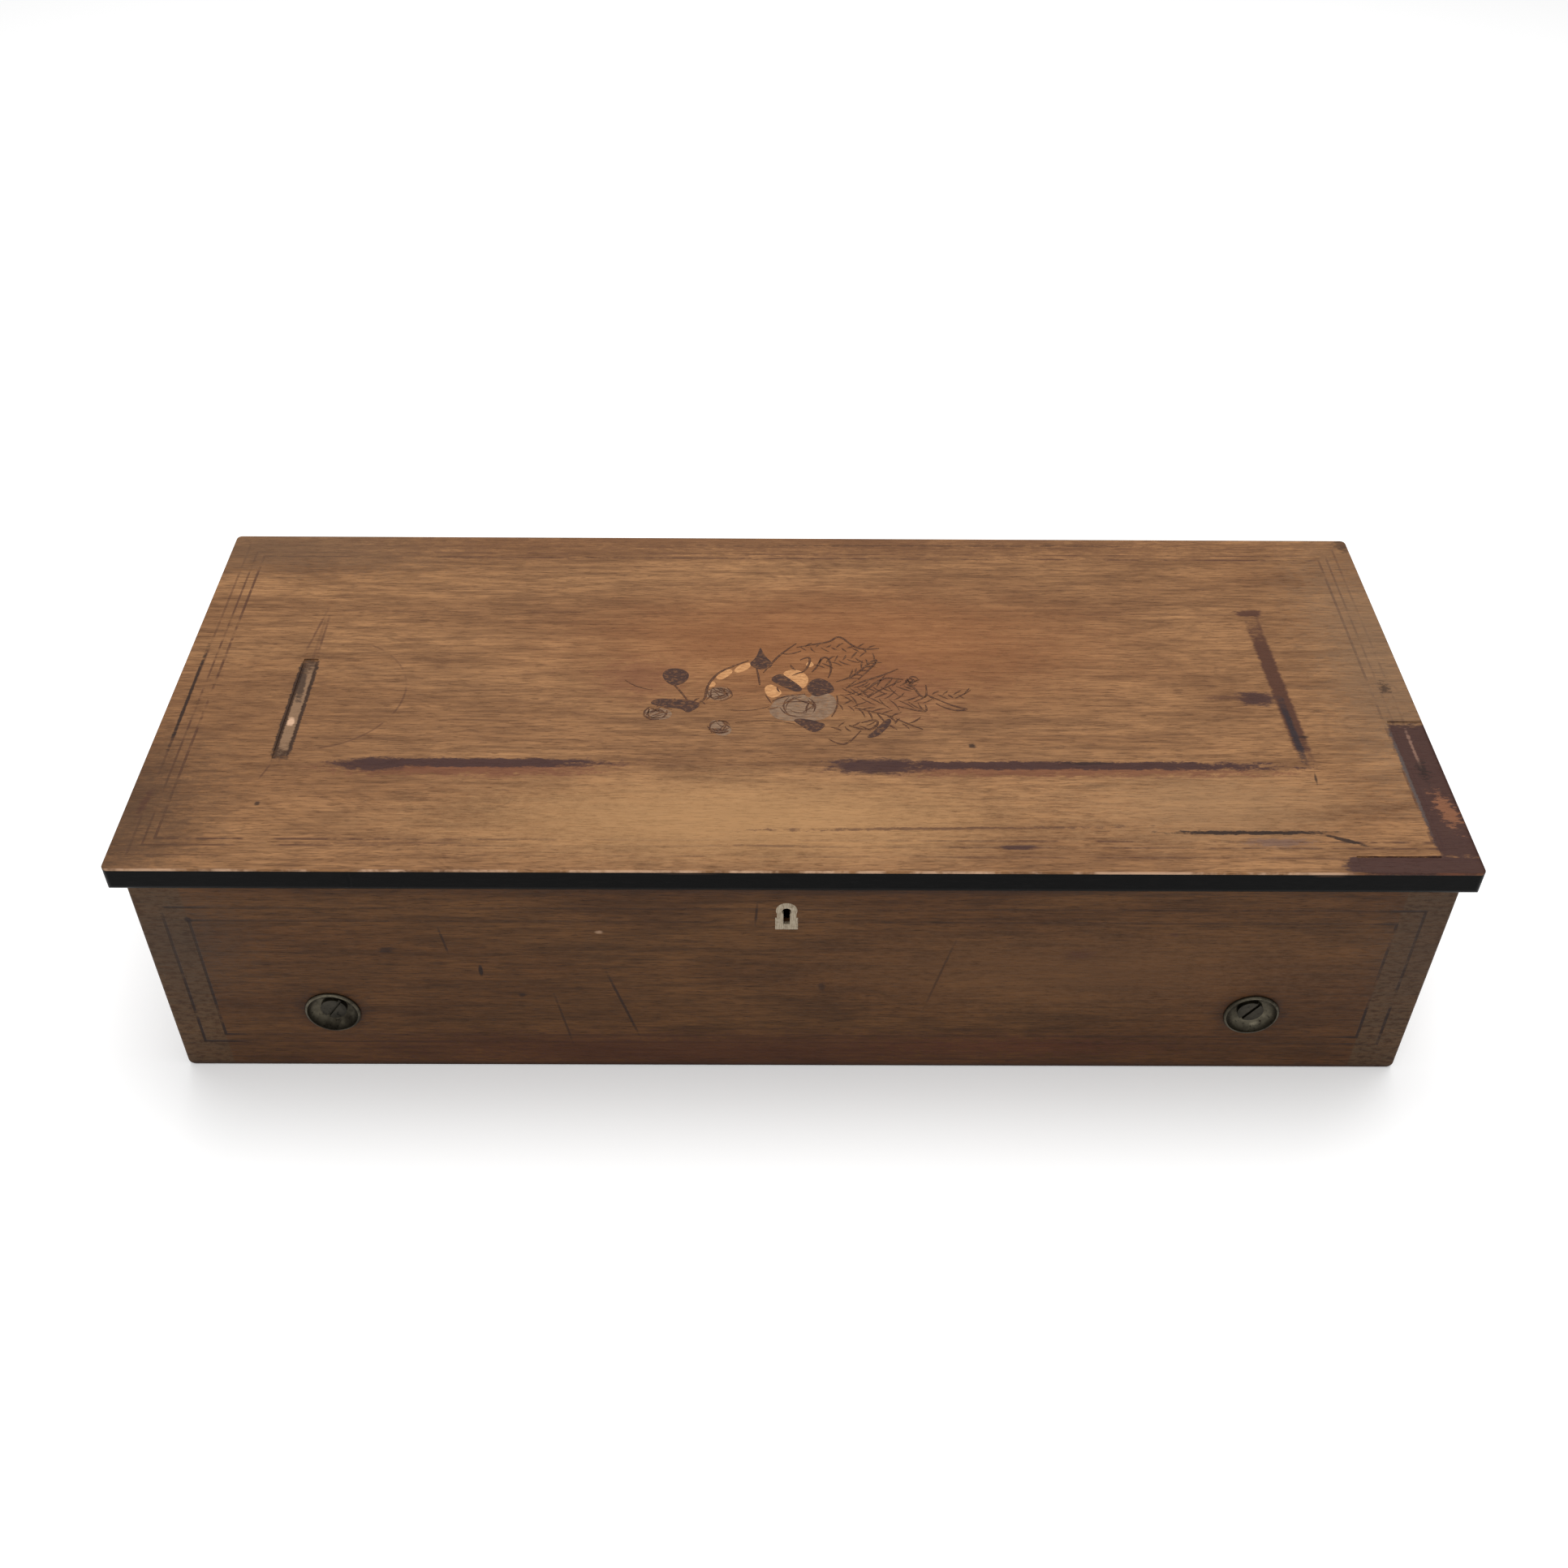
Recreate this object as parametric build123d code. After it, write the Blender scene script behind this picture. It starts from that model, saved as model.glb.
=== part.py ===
"""A lever-wound cylinder music box in a veneered case: millimetres, +Z up.

The origin is the middle of the box's footprint, on the table. +X runs to the right
along the front, +Y runs to the back, and the lid hinges at the back.
"""
from build123d import *
import math
import os

# Case
CASE_LENGTH = 520.0          # outside, left to right
CASE_DEPTH = 220.0           # outside, front board to back board
CASE_HEIGHT = 112.0          # table to the top edge of the boards
WALL = 11.0                  # thickness of the front, back and end boards
BOTTOM_THICKNESS = 9.0
SIDE_ROOM = 36.0             # width of the lever compartments
PARTITION_THICKNESS = 7.0
PARTITION_DROP = 4.0         # partitions stop this far below the boards' top edge
BLOCK_SIZE = 26.0            # bearer blocks under the bedplate

# Lid
LID_OVERHANG = 5.0           # past the front and end boards
LID_THICKNESS = 12.0
LID_TOP_LAYER = 1.0          # veneer that laps over the moulding
MOULDING_WIDTH = 12.0
MOULDING_ROUND = 3.0         # radius of the moulding's lower edge
LID_GAP = 0.2
LID_EDGE_ROUND = 0.6
LID_CORNER = 2.5             # round the lid's corners, seen from above
CORNER_ROUND = 1.2           # outer corners of the case
FOOT_ROUND = 3.0             # worn lower edges of the case's two ends

# Lid hinges
HINGE_LENGTH = 42.0
HINGE_INSET = 95.0           # hinge middle from the case's end
HINGE_LEAF = 1.6
HINGE_RADIUS = 3.0
HINGE_PIN_RADIUS = 1.3
HINGE_AXIS_BACK = 2.0        # axis behind the back board
HINGE_SCREW_RADIUS = 2.6
HINGE_SPARE = 0.4            # round the knuckles, in the boards
KNUCKLE_GAP = 0.15

# Lock and escutcheon
LOCK_X = -3.0
LOCK_WIDTH = 50.0
LOCK_DEPTH = 7.5
LOCK_HEIGHT = 30.0
LOCK_PLATE = 1.6
LOCK_WALL = 1.2
BOLT_TRAVEL = 5.0
BOLT_THICKNESS = 4.4
STAPLE_WIDTH = 4.0
STAPLE_THICKNESS = 2.4
STAPLE_DROP = 9.0
STAPLE_SPACING = 24.0
STAPLE_SPARE = 0.5           # round each staple in the lock's face plate
EYE_WIDTH = 2.6
EYE_HEIGHT = 3.4
EYE_RISE = 1.2               # eye above the staple's end
NOSE_POST = 3.0
KEY_PIN_RADIUS = 0.8
ESCUTCHEON_WIDTH = 9.0
ESCUTCHEON_HEIGHT = 15.0
ESCUTCHEON_THICKNESS = 1.6
ESCUTCHEON_Z = CASE_HEIGHT - 18.0
KEYHOLE_WIDTH = 2.6
KEYHOLE_LENGTH = 9.0
KEYHOLE_HEAD = 1.9

# Glazed inner lid
GLASS_FRAME_WIDTH = 12.0
GLASS_FRAME_THICKNESS = 8.0
GLASS_THICKNESS = 2.0
GLASS_GAP = 0.5
GLASS_LEDGE = 5.0
GLASS_RAIL_WIDTH = 6.0
GLASS_PIN_RADIUS = 1.5
GLASS_PIN_LENGTH = 6.0
GLASS_REST = 0.2
GLASS_KNOB_RADIUS = 4.5
KNOB_SPARE = 0.8             # between the knob and the closed lid

# Movement: bedplate and its screws
SCREW_HEIGHT = 0.31875 * CASE_HEIGHT   # middle of the screws through the front board
SCREW_X = 192.0              # half the distance between them
SCREW_RADIUS = 2.5
CUP_RADIUS = 11.5
CUP_RIM = 1.4                # the cup's rim stands this far off the board
CUP_SINK = 3.0               # the screw's seat lies this far into the board
CUP_WALL = 1.0
BED_SLOT_TURN = 55.0         # how far round the bed screws' slots stand
SCREW_HEAD = 5.4
BED_SIDE_GAP = 0.3
BED_THICKNESS = 10.0
BED_GAP = 3.0
BED_RIB = 6.0
BED_FLOOR = 4.0
BED_POCKETS = 4

# Cylinder, on an arbor along X
CYLINDER_RADIUS = 22.5
CYLINDER_WALL = 2.0
CYLINDER_Y = 6.0
AXIS_RISE = 0.2545 * CASE_HEIGHT       # arbor above the bedplate's top face
ARBOR_RADIUS = 3.0
PIVOT_CLEARANCE = 0.05
SHAFT_SPARE = 0.5            # round a shaft that only passes through
BRIDGE_THICKNESS = 5.0
BRIDGE_FOOT = 14.0
FOOT_THICKNESS = 4.0
BRIDGE_HEAD = 9.0            # radius of a bridge round its bearing
BRIDGE_SPREAD = 26.0         # half the width of a bridge's foot
FIXING_RADIUS = 1.6
FIXING_HEAD = 3.0
FIXING_HEAD_HEIGHT = 1.4
COLLAR_RADIUS = 12.0
COLLAR_THICKNESS = 2.0
DRIVE_PIN_RADIUS = 1.2
DRIVE_PIN_REACH = 9.0        # driving pin's distance from the arbor
CYLINDER_PINS = 120
PIN_WIDTH = 0.5
PIN_HEIGHT = 1.0
FIRST_PIN_ANGLE = 20.0
PIN_SPAN = 320.0             # the rest of the cylinder's turn is bare, between tunes
SIDE_GAP = 3.0               # running gap between neighbours along X
CAP_THICKNESS = 3.0
GOVERNOR_ROOM = 78.0         # bed length kept for the governor at the right

# Comb
COMB_TEETH = 60
COMB_THICKNESS = 1.6
COMB_BODY = 22.0             # solid back of the steel comb
COMB_TOOTH_BASS = 34.0
COMB_TOOTH_TREBLE = 20.0
COMB_SLIT = 0.8
COMB_TIP_GAP = 1.3           # tooth tips stand off the cylinder's skin
COMB_SCREWS = 7
COMB_SCREW_RADIUS = 3.0
COMB_BASE_WIDTH = 15.0
COMB_LEADS = 20
COMB_LEAD_HEIGHT = 7.0
LEAD_SETBACK = 2.0           # leads start this far behind the tooth tips

# Spring barrel
BARREL_RADIUS = 23.0
BARREL_LENGTH = 44.0
BARREL_WALL = 2.0
SPRING_TURNS = 7
SPRING_THICKNESS = 0.6
SPRING_ROOM = 3.5
SPRING_SPARE = 1.0

# Gears
MODULE = 0.8
BARREL_TEETH = 62
CYLINDER_PINION_TEETH = 18
GREAT_TEETH = 60
FIRST_PINION_TEETH = 14
FIRST_TEETH = 42
SECOND_PINION_TEETH = 12
WORM_WHEEL_TEETH = 28
TOOTH_SLACK = 0.16           # taken off each tooth's width, for backlash
WHEEL_THICKNESS = 3.0
PINION_LENGTH = 6.0
WORM_RADIUS = 2.6            # pitch radius of the endless screw
WORM_LENGTH = 13.0
FLY_WIDTH = 15.0
FLY_HEIGHT = 8.0
FLY_THICKNESS = 0.8

# Winding lever
LEVER_LENGTH = 70.0
LEVER_THICKNESS = 4.0
LEVER_WIDTH = 10.0
LEVER_REST = -28.0           # degrees above level, pointing to the front
GRIP_RADIUS = 5.0
GRIP_LENGTH = 30.0
GRIP_TANG = 1.8
CLICK_RADIUS = 2.5
LEVER_SIDE_GAP = 1.0
RATCHET_TEETH = 24
RATCHET_RADIUS = 15.0

# Tune change, on the cylinder's arbor
TUNES = 8
TUNE_STEP = 0.4
SNAIL_RADIUS = 18.0
SNAIL_THICKNESS = 3.0
STAR_RADIUS = 12.0
STAR_THICKNESS = 2.0
SNAIL_HUB = 5.0
SNAIL_LEAD = 6.0             # degrees that each step starts ahead of the follower
FOLLOWER_RADIUS = 1.2
FOLLOWER_REACH = 15.0        # follower pin's distance from the arbor
FOLLOWER_GAP = 0.15

# Control levers in the right-hand compartment
CONTROL_ARM = 28.0
CONTROL_THICKNESS = 3.0
CONTROL_SHAFT_RADIUS = 2.0
KNOB_RADIUS = 4.0
KNOB_HEIGHT = 7.0
CHANGE_TURN = 12.0
STOP_RISE = 15.0             # degrees above level at rest
CHANGE_RISE = 10.0
TOE_GAP = 1.0                # between the fly and the stop lever's toe
STAR_ENTRY = 0.85            # how deep the finger goes into the star, of its radius
FINGER = 1.6
FINGER_SPARE = 0.3           # between the finger and the snail's face
FINGER_STOP = 13.0           # degrees that the finger stands off the star's arbor, pushed

# Tune sheet inside the lid
SHEET_LENGTH = 190.0
SHEET_WIDTH = 120.0
SHEET_THICKNESS = 0.6

# Places worked out from the sizes above
FRONT = -CASE_DEPTH / 2
BACK = CASE_DEPTH / 2
INNER_FRONT = FRONT + WALL
INNER_BACK = BACK - WALL
INNER_END = CASE_LENGTH / 2 - WALL
PARTITION_OUT = INNER_END - SIDE_ROOM
PARTITION_IN = PARTITION_OUT - PARTITION_THICKNESS
PARTITION_TOP = CASE_HEIGHT - PARTITION_DROP
BED_END = PARTITION_IN - BED_GAP
BED_TOP = SCREW_HEIGHT + BED_THICKNESS / 2
BED_BOTTOM = SCREW_HEIGHT - BED_THICKNESS / 2
AXIS_Z = BED_TOP + AXIS_RISE
HINGE_Y = BACK + HINGE_AXIS_BACK
HINGE_Z = CASE_HEIGHT + LID_GAP / 2
LID_BOTTOM = CASE_HEIGHT + LID_GAP
LID_TOP = LID_BOTTOM + LID_THICKNESS
LID_FRONT = FRONT - LID_OVERHANG
LID_END = CASE_LENGTH / 2 + LID_OVERHANG
HINGE_X = (-CASE_LENGTH / 2 + HINGE_INSET, CASE_LENGTH / 2 - HINGE_INSET)
LOCK_Y = INNER_FRONT - LOCK_DEPTH / 2
STAPLE_X = (LOCK_X - STAPLE_SPACING / 2, LOCK_X + STAPLE_SPACING / 2)
GLASS_TOP = PARTITION_TOP
GLASS_BOTTOM = GLASS_TOP - GLASS_FRAME_THICKNESS
GLASS_Z = (GLASS_TOP + GLASS_BOTTOM) / 2
GLASS_AXIS_Y = INNER_BACK - GLASS_RAIL_WIDTH - GLASS_GAP - GLASS_FRAME_THICKNESS / 2
GEAR_GAP = 0.1               # added to every pair's distance between centres

# Stations along the arbor, from the left end of the bedplate
LEFT_BRIDGE_X = -BED_END + SIDE_GAP
DRUM_X = LEFT_BRIDGE_X + BRIDGE_THICKNESS + SIDE_GAP
BARREL_WHEEL_X = DRUM_X + BARREL_LENGTH
MIDDLE_BRIDGE_X = BARREL_WHEEL_X + WHEEL_THICKNESS + SIDE_GAP
CYLINDER_PINION_X = MIDDLE_BRIDGE_X - 0.5 - PINION_LENGTH
CYLINDER_X = MIDDLE_BRIDGE_X + BRIDGE_THICKNESS + SIDE_GAP + TUNES * TUNE_STEP
RIGHT_BRIDGE_X = BED_END - GOVERNOR_ROOM
STAR_X = RIGHT_BRIDGE_X - SIDE_GAP / 2 - STAR_THICKNESS
SNAIL_X = STAR_X - SNAIL_THICKNESS
CYLINDER_END = SNAIL_X - TUNES * TUNE_STEP - 0.5
GREAT_WHEEL_X = RIGHT_BRIDGE_X + BRIDGE_THICKNESS + SIDE_GAP / 2

BARREL_Y = CYLINDER_Y + MODULE * (BARREL_TEETH + CYLINDER_PINION_TEETH) / 2 + GEAR_GAP
FIRST_ANGLE = -18.0          # degrees, from the cylinder's arbor down to the first arbor
FIRST_REACH = MODULE * (GREAT_TEETH + FIRST_PINION_TEETH) / 2 + GEAR_GAP
FIRST_Y = CYLINDER_Y + FIRST_REACH * math.cos(math.radians(FIRST_ANGLE))
FIRST_Z = AXIS_Z + FIRST_REACH * math.sin(math.radians(FIRST_ANGLE))
SECOND_ANGLE = 25.0
SECOND_REACH = MODULE * (FIRST_TEETH + SECOND_PINION_TEETH) / 2 + GEAR_GAP
SECOND_Y = FIRST_Y + SECOND_REACH * math.cos(math.radians(SECOND_ANGLE))
SECOND_Z = FIRST_Z + SECOND_REACH * math.sin(math.radians(SECOND_ANGLE))
WORM_Y = SECOND_Y + MODULE * WORM_WHEEL_TEETH / 2 + WORM_RADIUS + GEAR_GAP

GOVERNOR_PLATE = 3.0
GOVERNOR_ROOM_INSIDE = 23.0  # between the governor's two plates
FRONT_PLATE_X = GREAT_WHEEL_X + PINION_LENGTH + 1.5
BACK_PLATE_X = FRONT_PLATE_X + GOVERNOR_PLATE + GOVERNOR_ROOM_INSIDE
FIRST_WHEEL_X = FRONT_PLATE_X + GOVERNOR_PLATE + 2.5
WORM_WHEEL_X = FIRST_WHEEL_X + WHEEL_THICKNESS + 5.5
WORM_X = WORM_WHEEL_X + WHEEL_THICKNESS / 2
GOVERNOR_ARBOR = 1.5
FLY_Z = SECOND_Z + MODULE * WORM_WHEEL_TEETH / 2 + 2.0
COCK_Z = FLY_Z + FLY_HEIGHT + 1.0
COCK_THICKNESS = 3.0
COCK_Y0 = WORM_Y - 8.0
COCK_Y1 = WORM_Y + 8.0
GOVERNOR_FRONT_Y = FIRST_Y - 10.0
GOVERNOR_BACK_Y = WORM_Y + 12.0
GOVERNOR_FOOT = 10.0
POTENCE_Z = SECOND_Z - MODULE * WORM_WHEEL_TEETH / 2 - 5.5
POTENCE_THICKNESS = 3.0
ENDSTONE_RADIUS = 2.5
WORM_ARBOR = 1.2
WORM_SLACK = 0.4
WORM_TURN = 270.0              # degrees that bring the thread to the wheel's gaps

COMB_Z = AXIS_Z - COMB_THICKNESS / 2
COMB_TIP_Y = CYLINDER_Y - CYLINDER_RADIUS - COMB_TIP_GAP
COMB_BACK_Y = COMB_TIP_Y - COMB_TOOTH_BASS - COMB_BODY
COMB_LEFT = CYLINDER_X + 5.0
COMB_RIGHT = CYLINDER_END - 5.0

STOP_Y = WORM_Y + 14.0
STOP_Z = COCK_Z - 11.0
CHANGE_Y = FIRST_Y + 6.0
CHANGE_Z = COCK_Z - 3.0
SHAFT_BRACKET_X = BACK_PLATE_X + GOVERNOR_PLATE + 4.0
CONTROL_X = PARTITION_OUT + 6.0
RATCHET_X = -PARTITION_OUT - 1.5 - WHEEL_THICKNESS
STAR_TURN = math.degrees(math.atan2(CHANGE_Z - AXIS_Z, CHANGE_Y - CYLINDER_Y))


def slab(x0, x1, y0, y1, z0, z1):
    """A square-edged block between two corners."""
    middle = ((x0 + x1) / 2, (y0 + y1) / 2, (z0 + z1) / 2)
    return Pos(*middle) * Box(x1 - x0, y1 - y0, z1 - z0)


def rod_x(radius, x0, x1, y, z):
    return Pos((x0 + x1) / 2, y, z) * Rot(0, 90, 0) * Cylinder(radius, x1 - x0)


def rod_y(radius, x, y0, y1, z):
    return Pos(x, (y0 + y1) / 2, z) * Rot(90, 0, 0) * Cylinder(radius, y1 - y0)


def rod_z(radius, x, y, z0, z1):
    return Pos(x, y, (z0 + z1) / 2) * Cylinder(radius, z1 - z0)


def plate_x(outline, x0, thickness, y=0.0, z=0.0):
    """A flat plate that stands across the X axis, from an outline in Y and Z."""
    face = Plane((x0, y, z), x_dir=(0, 1, 0), z_dir=(1, 0, 0)) * make_face(Polyline(*outline, close=True))
    return extrude(face, thickness)


def plate_z(outline, z0, thickness):
    """A flat plate that lies level, from an outline in X and Y."""
    return extrude(Plane.XY.offset(z0) * make_face(Polyline(*outline, close=True)), thickness)


def screw(place, head, shank, length, head_height=2.0):
    """A cheese-headed screw with a slot: it points down its own -Z from the head's seat."""
    body = rod_z(head, 0, 0, 0, head_height) + rod_z(shank, 0, 0, -length, 0)
    slot = slab(-head, head, -head / 8, head / 8, head_height * 0.55, head_height)
    return place * (body - slot)


def tooth_outline(teeth, slack, points, turn=0.0):
    """A gear's outline with involute-shaped teeth, each flank drawn through a few points."""
    pressure = math.radians(20)
    pitch = MODULE * teeth / 2
    base = pitch * math.cos(pressure)
    tip = pitch + 0.8 * MODULE
    root = pitch - 1.1 * MODULE
    radii = [root, tip] if points == 2 else [root, pitch, tip]

    def half_angle(radius):
        local = math.acos(base / max(radius, base))
        spread = math.tan(pressure) - pressure - math.tan(local) + local
        return math.pi / (2 * teeth) - slack / (2 * pitch) + spread

    outline = []
    for tooth in range(teeth):
        middle = turn + 2 * math.pi * tooth / teeth
        flank = [(r, middle - half_angle(r)) for r in radii]
        flank += [(r, middle + half_angle(r)) for r in reversed(radii)]
        outline += [(r * math.cos(a), r * math.sin(a)) for r, a in flank]
    return outline


def gear(teeth, x0, thickness, y, z, bore, points=2, turn=0.0, spokes=0, rim=3.0, hub=5.0):
    """A spur wheel across the X axis, bored for its arbor and crossed out if it has spokes."""
    wheel = plate_x(tooth_outline(teeth, TOOTH_SLACK, points, turn), x0, thickness, y, z)
    root = MODULE * (teeth / 2 - 1.1)
    if spokes:
        ring = rod_x(root - rim, x0, x0 + thickness, y, z) - rod_x(hub, x0, x0 + thickness, y, z)
        for spoke in range(spokes):
            arm = slab(x0, x0 + thickness, 0, root, -1.8, 1.8)
            ring -= Pos(0, y, z) * Rot(360 * spoke / spokes, 0, 0) * arm
        wheel -= ring
    if bore:
        wheel -= rod_x(bore, x0 - 1, x0 + thickness + 1, y, z)
    return wheel


def flat_screw(place, head, shank, length, head_height=1.4):
    """A countersunk screw: its head's face is at z = 0 and it points down its own -Z."""
    taper = Pos(0, 0, -head_height / 2) * Cone(shank, head, head_height)
    body = taper + rod_z(shank, 0, 0, -length, -head_height)
    return place * (body - slab(-head, head, -0.4, 0.4, -head_height / 2, 0))


def bored(piece, fasteners):
    """The piece with a hole of each fastener's own size."""
    for fastener in fasteners:
        piece -= fastener
    return piece


def bed_screw_places():
    """Where the bedplate's screws meet the faces of the front and back boards."""
    places = []
    for side in (-1, 1):
        places.append(Pos(side * SCREW_X, FRONT, SCREW_HEIGHT) * Rot(90, 0, 0))
        places.append(Pos(side * SCREW_X, BACK, SCREW_HEIGHT) * Rot(-90, 0, 0))
    return places


def cup_bed(place):
    """The hollow that a cup fills in its board."""
    wide = CUP_RADIUS - CUP_WALL * 0.6
    foot = SCREW_HEAD + 0.8 + CUP_WALL
    deep = CUP_SINK + CUP_WALL
    outline = (
        Line((0, 0), (wide, 0))
        + ThreePointArc((wide, 0), (wide * 0.89, -deep * 0.55), (foot, -deep))
        + Line((foot, -deep), (0, -deep))
        + Line((0, -deep), (0, 0))
    )
    return place * revolve(Plane.XZ * make_face(outline), Axis.Z)


def cup_washer(place):
    """A dished cup let into the board, with a low rounded rim and a seat for the screw's head."""
    seat = SCREW_HEAD + 0.8
    rim = CUP_RADIUS - CUP_WALL
    middle = ((seat + rim) / 2 + 0.8, (CUP_RIM - CUP_SINK) / 2 - 0.8)
    flange = (
        Line((0, 0), (CUP_RADIUS, 0))
        + ThreePointArc((CUP_RADIUS, 0), (CUP_RADIUS - 0.2, CUP_RIM * 0.8), (rim, CUP_RIM))
        + Line((rim, CUP_RIM), (0, CUP_RIM))
        + Line((0, CUP_RIM), (0, 0))
    )
    dish = (
        Line((0, CUP_RIM), (rim, CUP_RIM))
        + ThreePointArc((rim, CUP_RIM), middle, (seat, -CUP_SINK))
        + Line((seat, -CUP_SINK), (0, -CUP_SINK))
        + Line((0, -CUP_SINK), (0, CUP_RIM))
    )
    cup = place * revolve(Plane.XZ * make_face(flange), Axis.Z) + cup_bed(place)
    cup -= place * revolve(Plane.XZ * make_face(dish), Axis.Z)
    return cup - place * rod_z(SCREW_RADIUS, 0, 0, -CUP_SINK - 2 * CUP_WALL, 0)


def bed_fasteners():
    places = bed_screw_places()
    cups = [cup_washer(place) for place in places]
    length = WALL - CUP_SINK + BED_SIDE_GAP + BED_RIB
    seats = [place * Pos(0, 0, -CUP_SINK) * Rot(0, 0, BED_SLOT_TURN) for place in places]
    return cups, [screw(seat, SCREW_HEAD, SCREW_RADIUS, length) for seat in seats]


def keyhole(y0, y1):
    """The round head and narrow slot that the key goes through."""
    top = ESCUTCHEON_Z + KEYHOLE_LENGTH / 2 - KEYHOLE_HEAD
    low = ESCUTCHEON_Z - KEYHOLE_LENGTH / 2
    slot = slab(LOCK_X - KEYHOLE_WIDTH / 2, LOCK_X + KEYHOLE_WIDTH / 2, y0, y1, low, top)
    return slot + rod_y(KEYHOLE_HEAD, LOCK_X, y0, y1, top)


def escutcheon_blank():
    """The bone escutcheon's own shape, a round head on a square foot, before its keyhole."""
    half = ESCUTCHEON_WIDTH / 2
    head = half * 0.94
    low = ESCUTCHEON_Z - ESCUTCHEON_HEIGHT / 2
    centre = ESCUTCHEON_Z + ESCUTCHEON_HEIGHT / 2 - head
    shoulder = low + ESCUTCHEON_HEIGHT * 0.45
    body = slab(LOCK_X - half, LOCK_X + half, FRONT, FRONT + ESCUTCHEON_THICKNESS, low, shoulder)
    neck = half * 0.86
    body += slab(LOCK_X - neck, LOCK_X + neck, FRONT, FRONT + ESCUTCHEON_THICKNESS, low, centre)
    return body + rod_y(head, LOCK_X, FRONT, FRONT + ESCUTCHEON_THICKNESS, centre)


def lock_room(y0, y1, z0, z1, inset):
    return slab(LOCK_X - LOCK_WIDTH / 2 + inset, LOCK_X + LOCK_WIDTH / 2 - inset, y0, y1, z0, z1)


def staple(x, spare):
    """One staple's plate below the lid, or with spare the slot that it drops through."""
    low = LID_BOTTOM - STAPLE_DROP - spare
    return slab(
        x - STAPLE_THICKNESS / 2 - spare,
        x + STAPLE_THICKNESS / 2 + spare,
        LOCK_Y - STAPLE_WIDTH / 2 - spare,
        LOCK_Y + STAPLE_WIDTH / 2 + spare,
        low,
        LID_BOTTOM + LOCK_PLATE,
    )


def lock_case():
    """The lock's box, open at the top under its slotted face plate, with the pin for the key."""
    low = CASE_HEIGHT - LOCK_HEIGHT
    box = lock_room(INNER_FRONT - LOCK_DEPTH, INNER_FRONT, low, CASE_HEIGHT, 0)
    wall = LOCK_WALL
    top = CASE_HEIGHT - LOCK_PLATE
    box -= lock_room(INNER_FRONT - LOCK_DEPTH + wall, INNER_FRONT - wall, low + wall, top, wall)
    for x in STAPLE_X:
        box -= staple(x, STAPLE_SPARE)
    box -= keyhole(INNER_FRONT - LOCK_DEPTH - 1, INNER_FRONT - LOCK_DEPTH + wall)
    pin_z = ESCUTCHEON_Z + KEYHOLE_LENGTH / 2 - KEYHOLE_HEAD
    return box + rod_y(KEY_PIN_RADIUS, LOCK_X, INNER_FRONT - LOCK_DEPTH, INNER_FRONT - wall, pin_z)


def lock_bolt():
    """A sliding bar with two noses that pass through the staples' eyes."""
    eye = LID_BOTTOM - STAPLE_DROP + EYE_RISE + EYE_HEIGHT / 2
    low = LID_BOTTOM - STAPLE_DROP - 4.2
    y0 = LOCK_Y - BOLT_THICKNESS / 2
    y1 = LOCK_Y + BOLT_THICKNESS / 2
    reach = BOLT_TRAVEL
    first = STAPLE_X[0] - STAPLE_THICKNESS / 2 - 0.5 - reach
    last = STAPLE_X[1] - STAPLE_THICKNESS / 2 - 0.5 - reach
    bolt = slab(first - NOSE_POST, last, y0, y1, low, low + 3)
    for tip in (first, last):
        bolt += slab(tip - NOSE_POST, tip, y0, y1, low, eye + EYE_HEIGHT / 2 - 0.4)
        nose = (LOCK_Y - EYE_WIDTH / 2 + 0.3, LOCK_Y + EYE_WIDTH / 2 - 0.3)
        bolt += slab(tip - 1, tip + reach, *nose, eye - EYE_HEIGHT / 2 + 0.4, eye + EYE_HEIGHT / 2 - 0.4)
    return bolt


def link_plate():
    """The plate in the lid's underside, and riveted in it two staples with eyes for the bolt."""
    plate = lock_room(INNER_FRONT - LOCK_DEPTH, INNER_FRONT, LID_BOTTOM, LID_BOTTOM + LOCK_PLATE, 0)
    staples = []
    low = LID_BOTTOM - STAPLE_DROP + EYE_RISE
    for x in STAPLE_X:
        eye = slab(x - 5, x + 5, LOCK_Y - EYE_WIDTH / 2, LOCK_Y + EYE_WIDTH / 2, low, low + EYE_HEIGHT)
        plate -= staple(x, 0)
        staples.append(staple(x, 0) - eye)
    return [plate] + staples


def hinge_room(x):
    """What the hinge at x takes out of the boards round its knuckles."""
    reach = HINGE_LENGTH / 2 + HINGE_SPARE
    return rod_x(HINGE_RADIUS + HINGE_SPARE, x - reach, x + reach, HINGE_Y, HINGE_Z)


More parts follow.
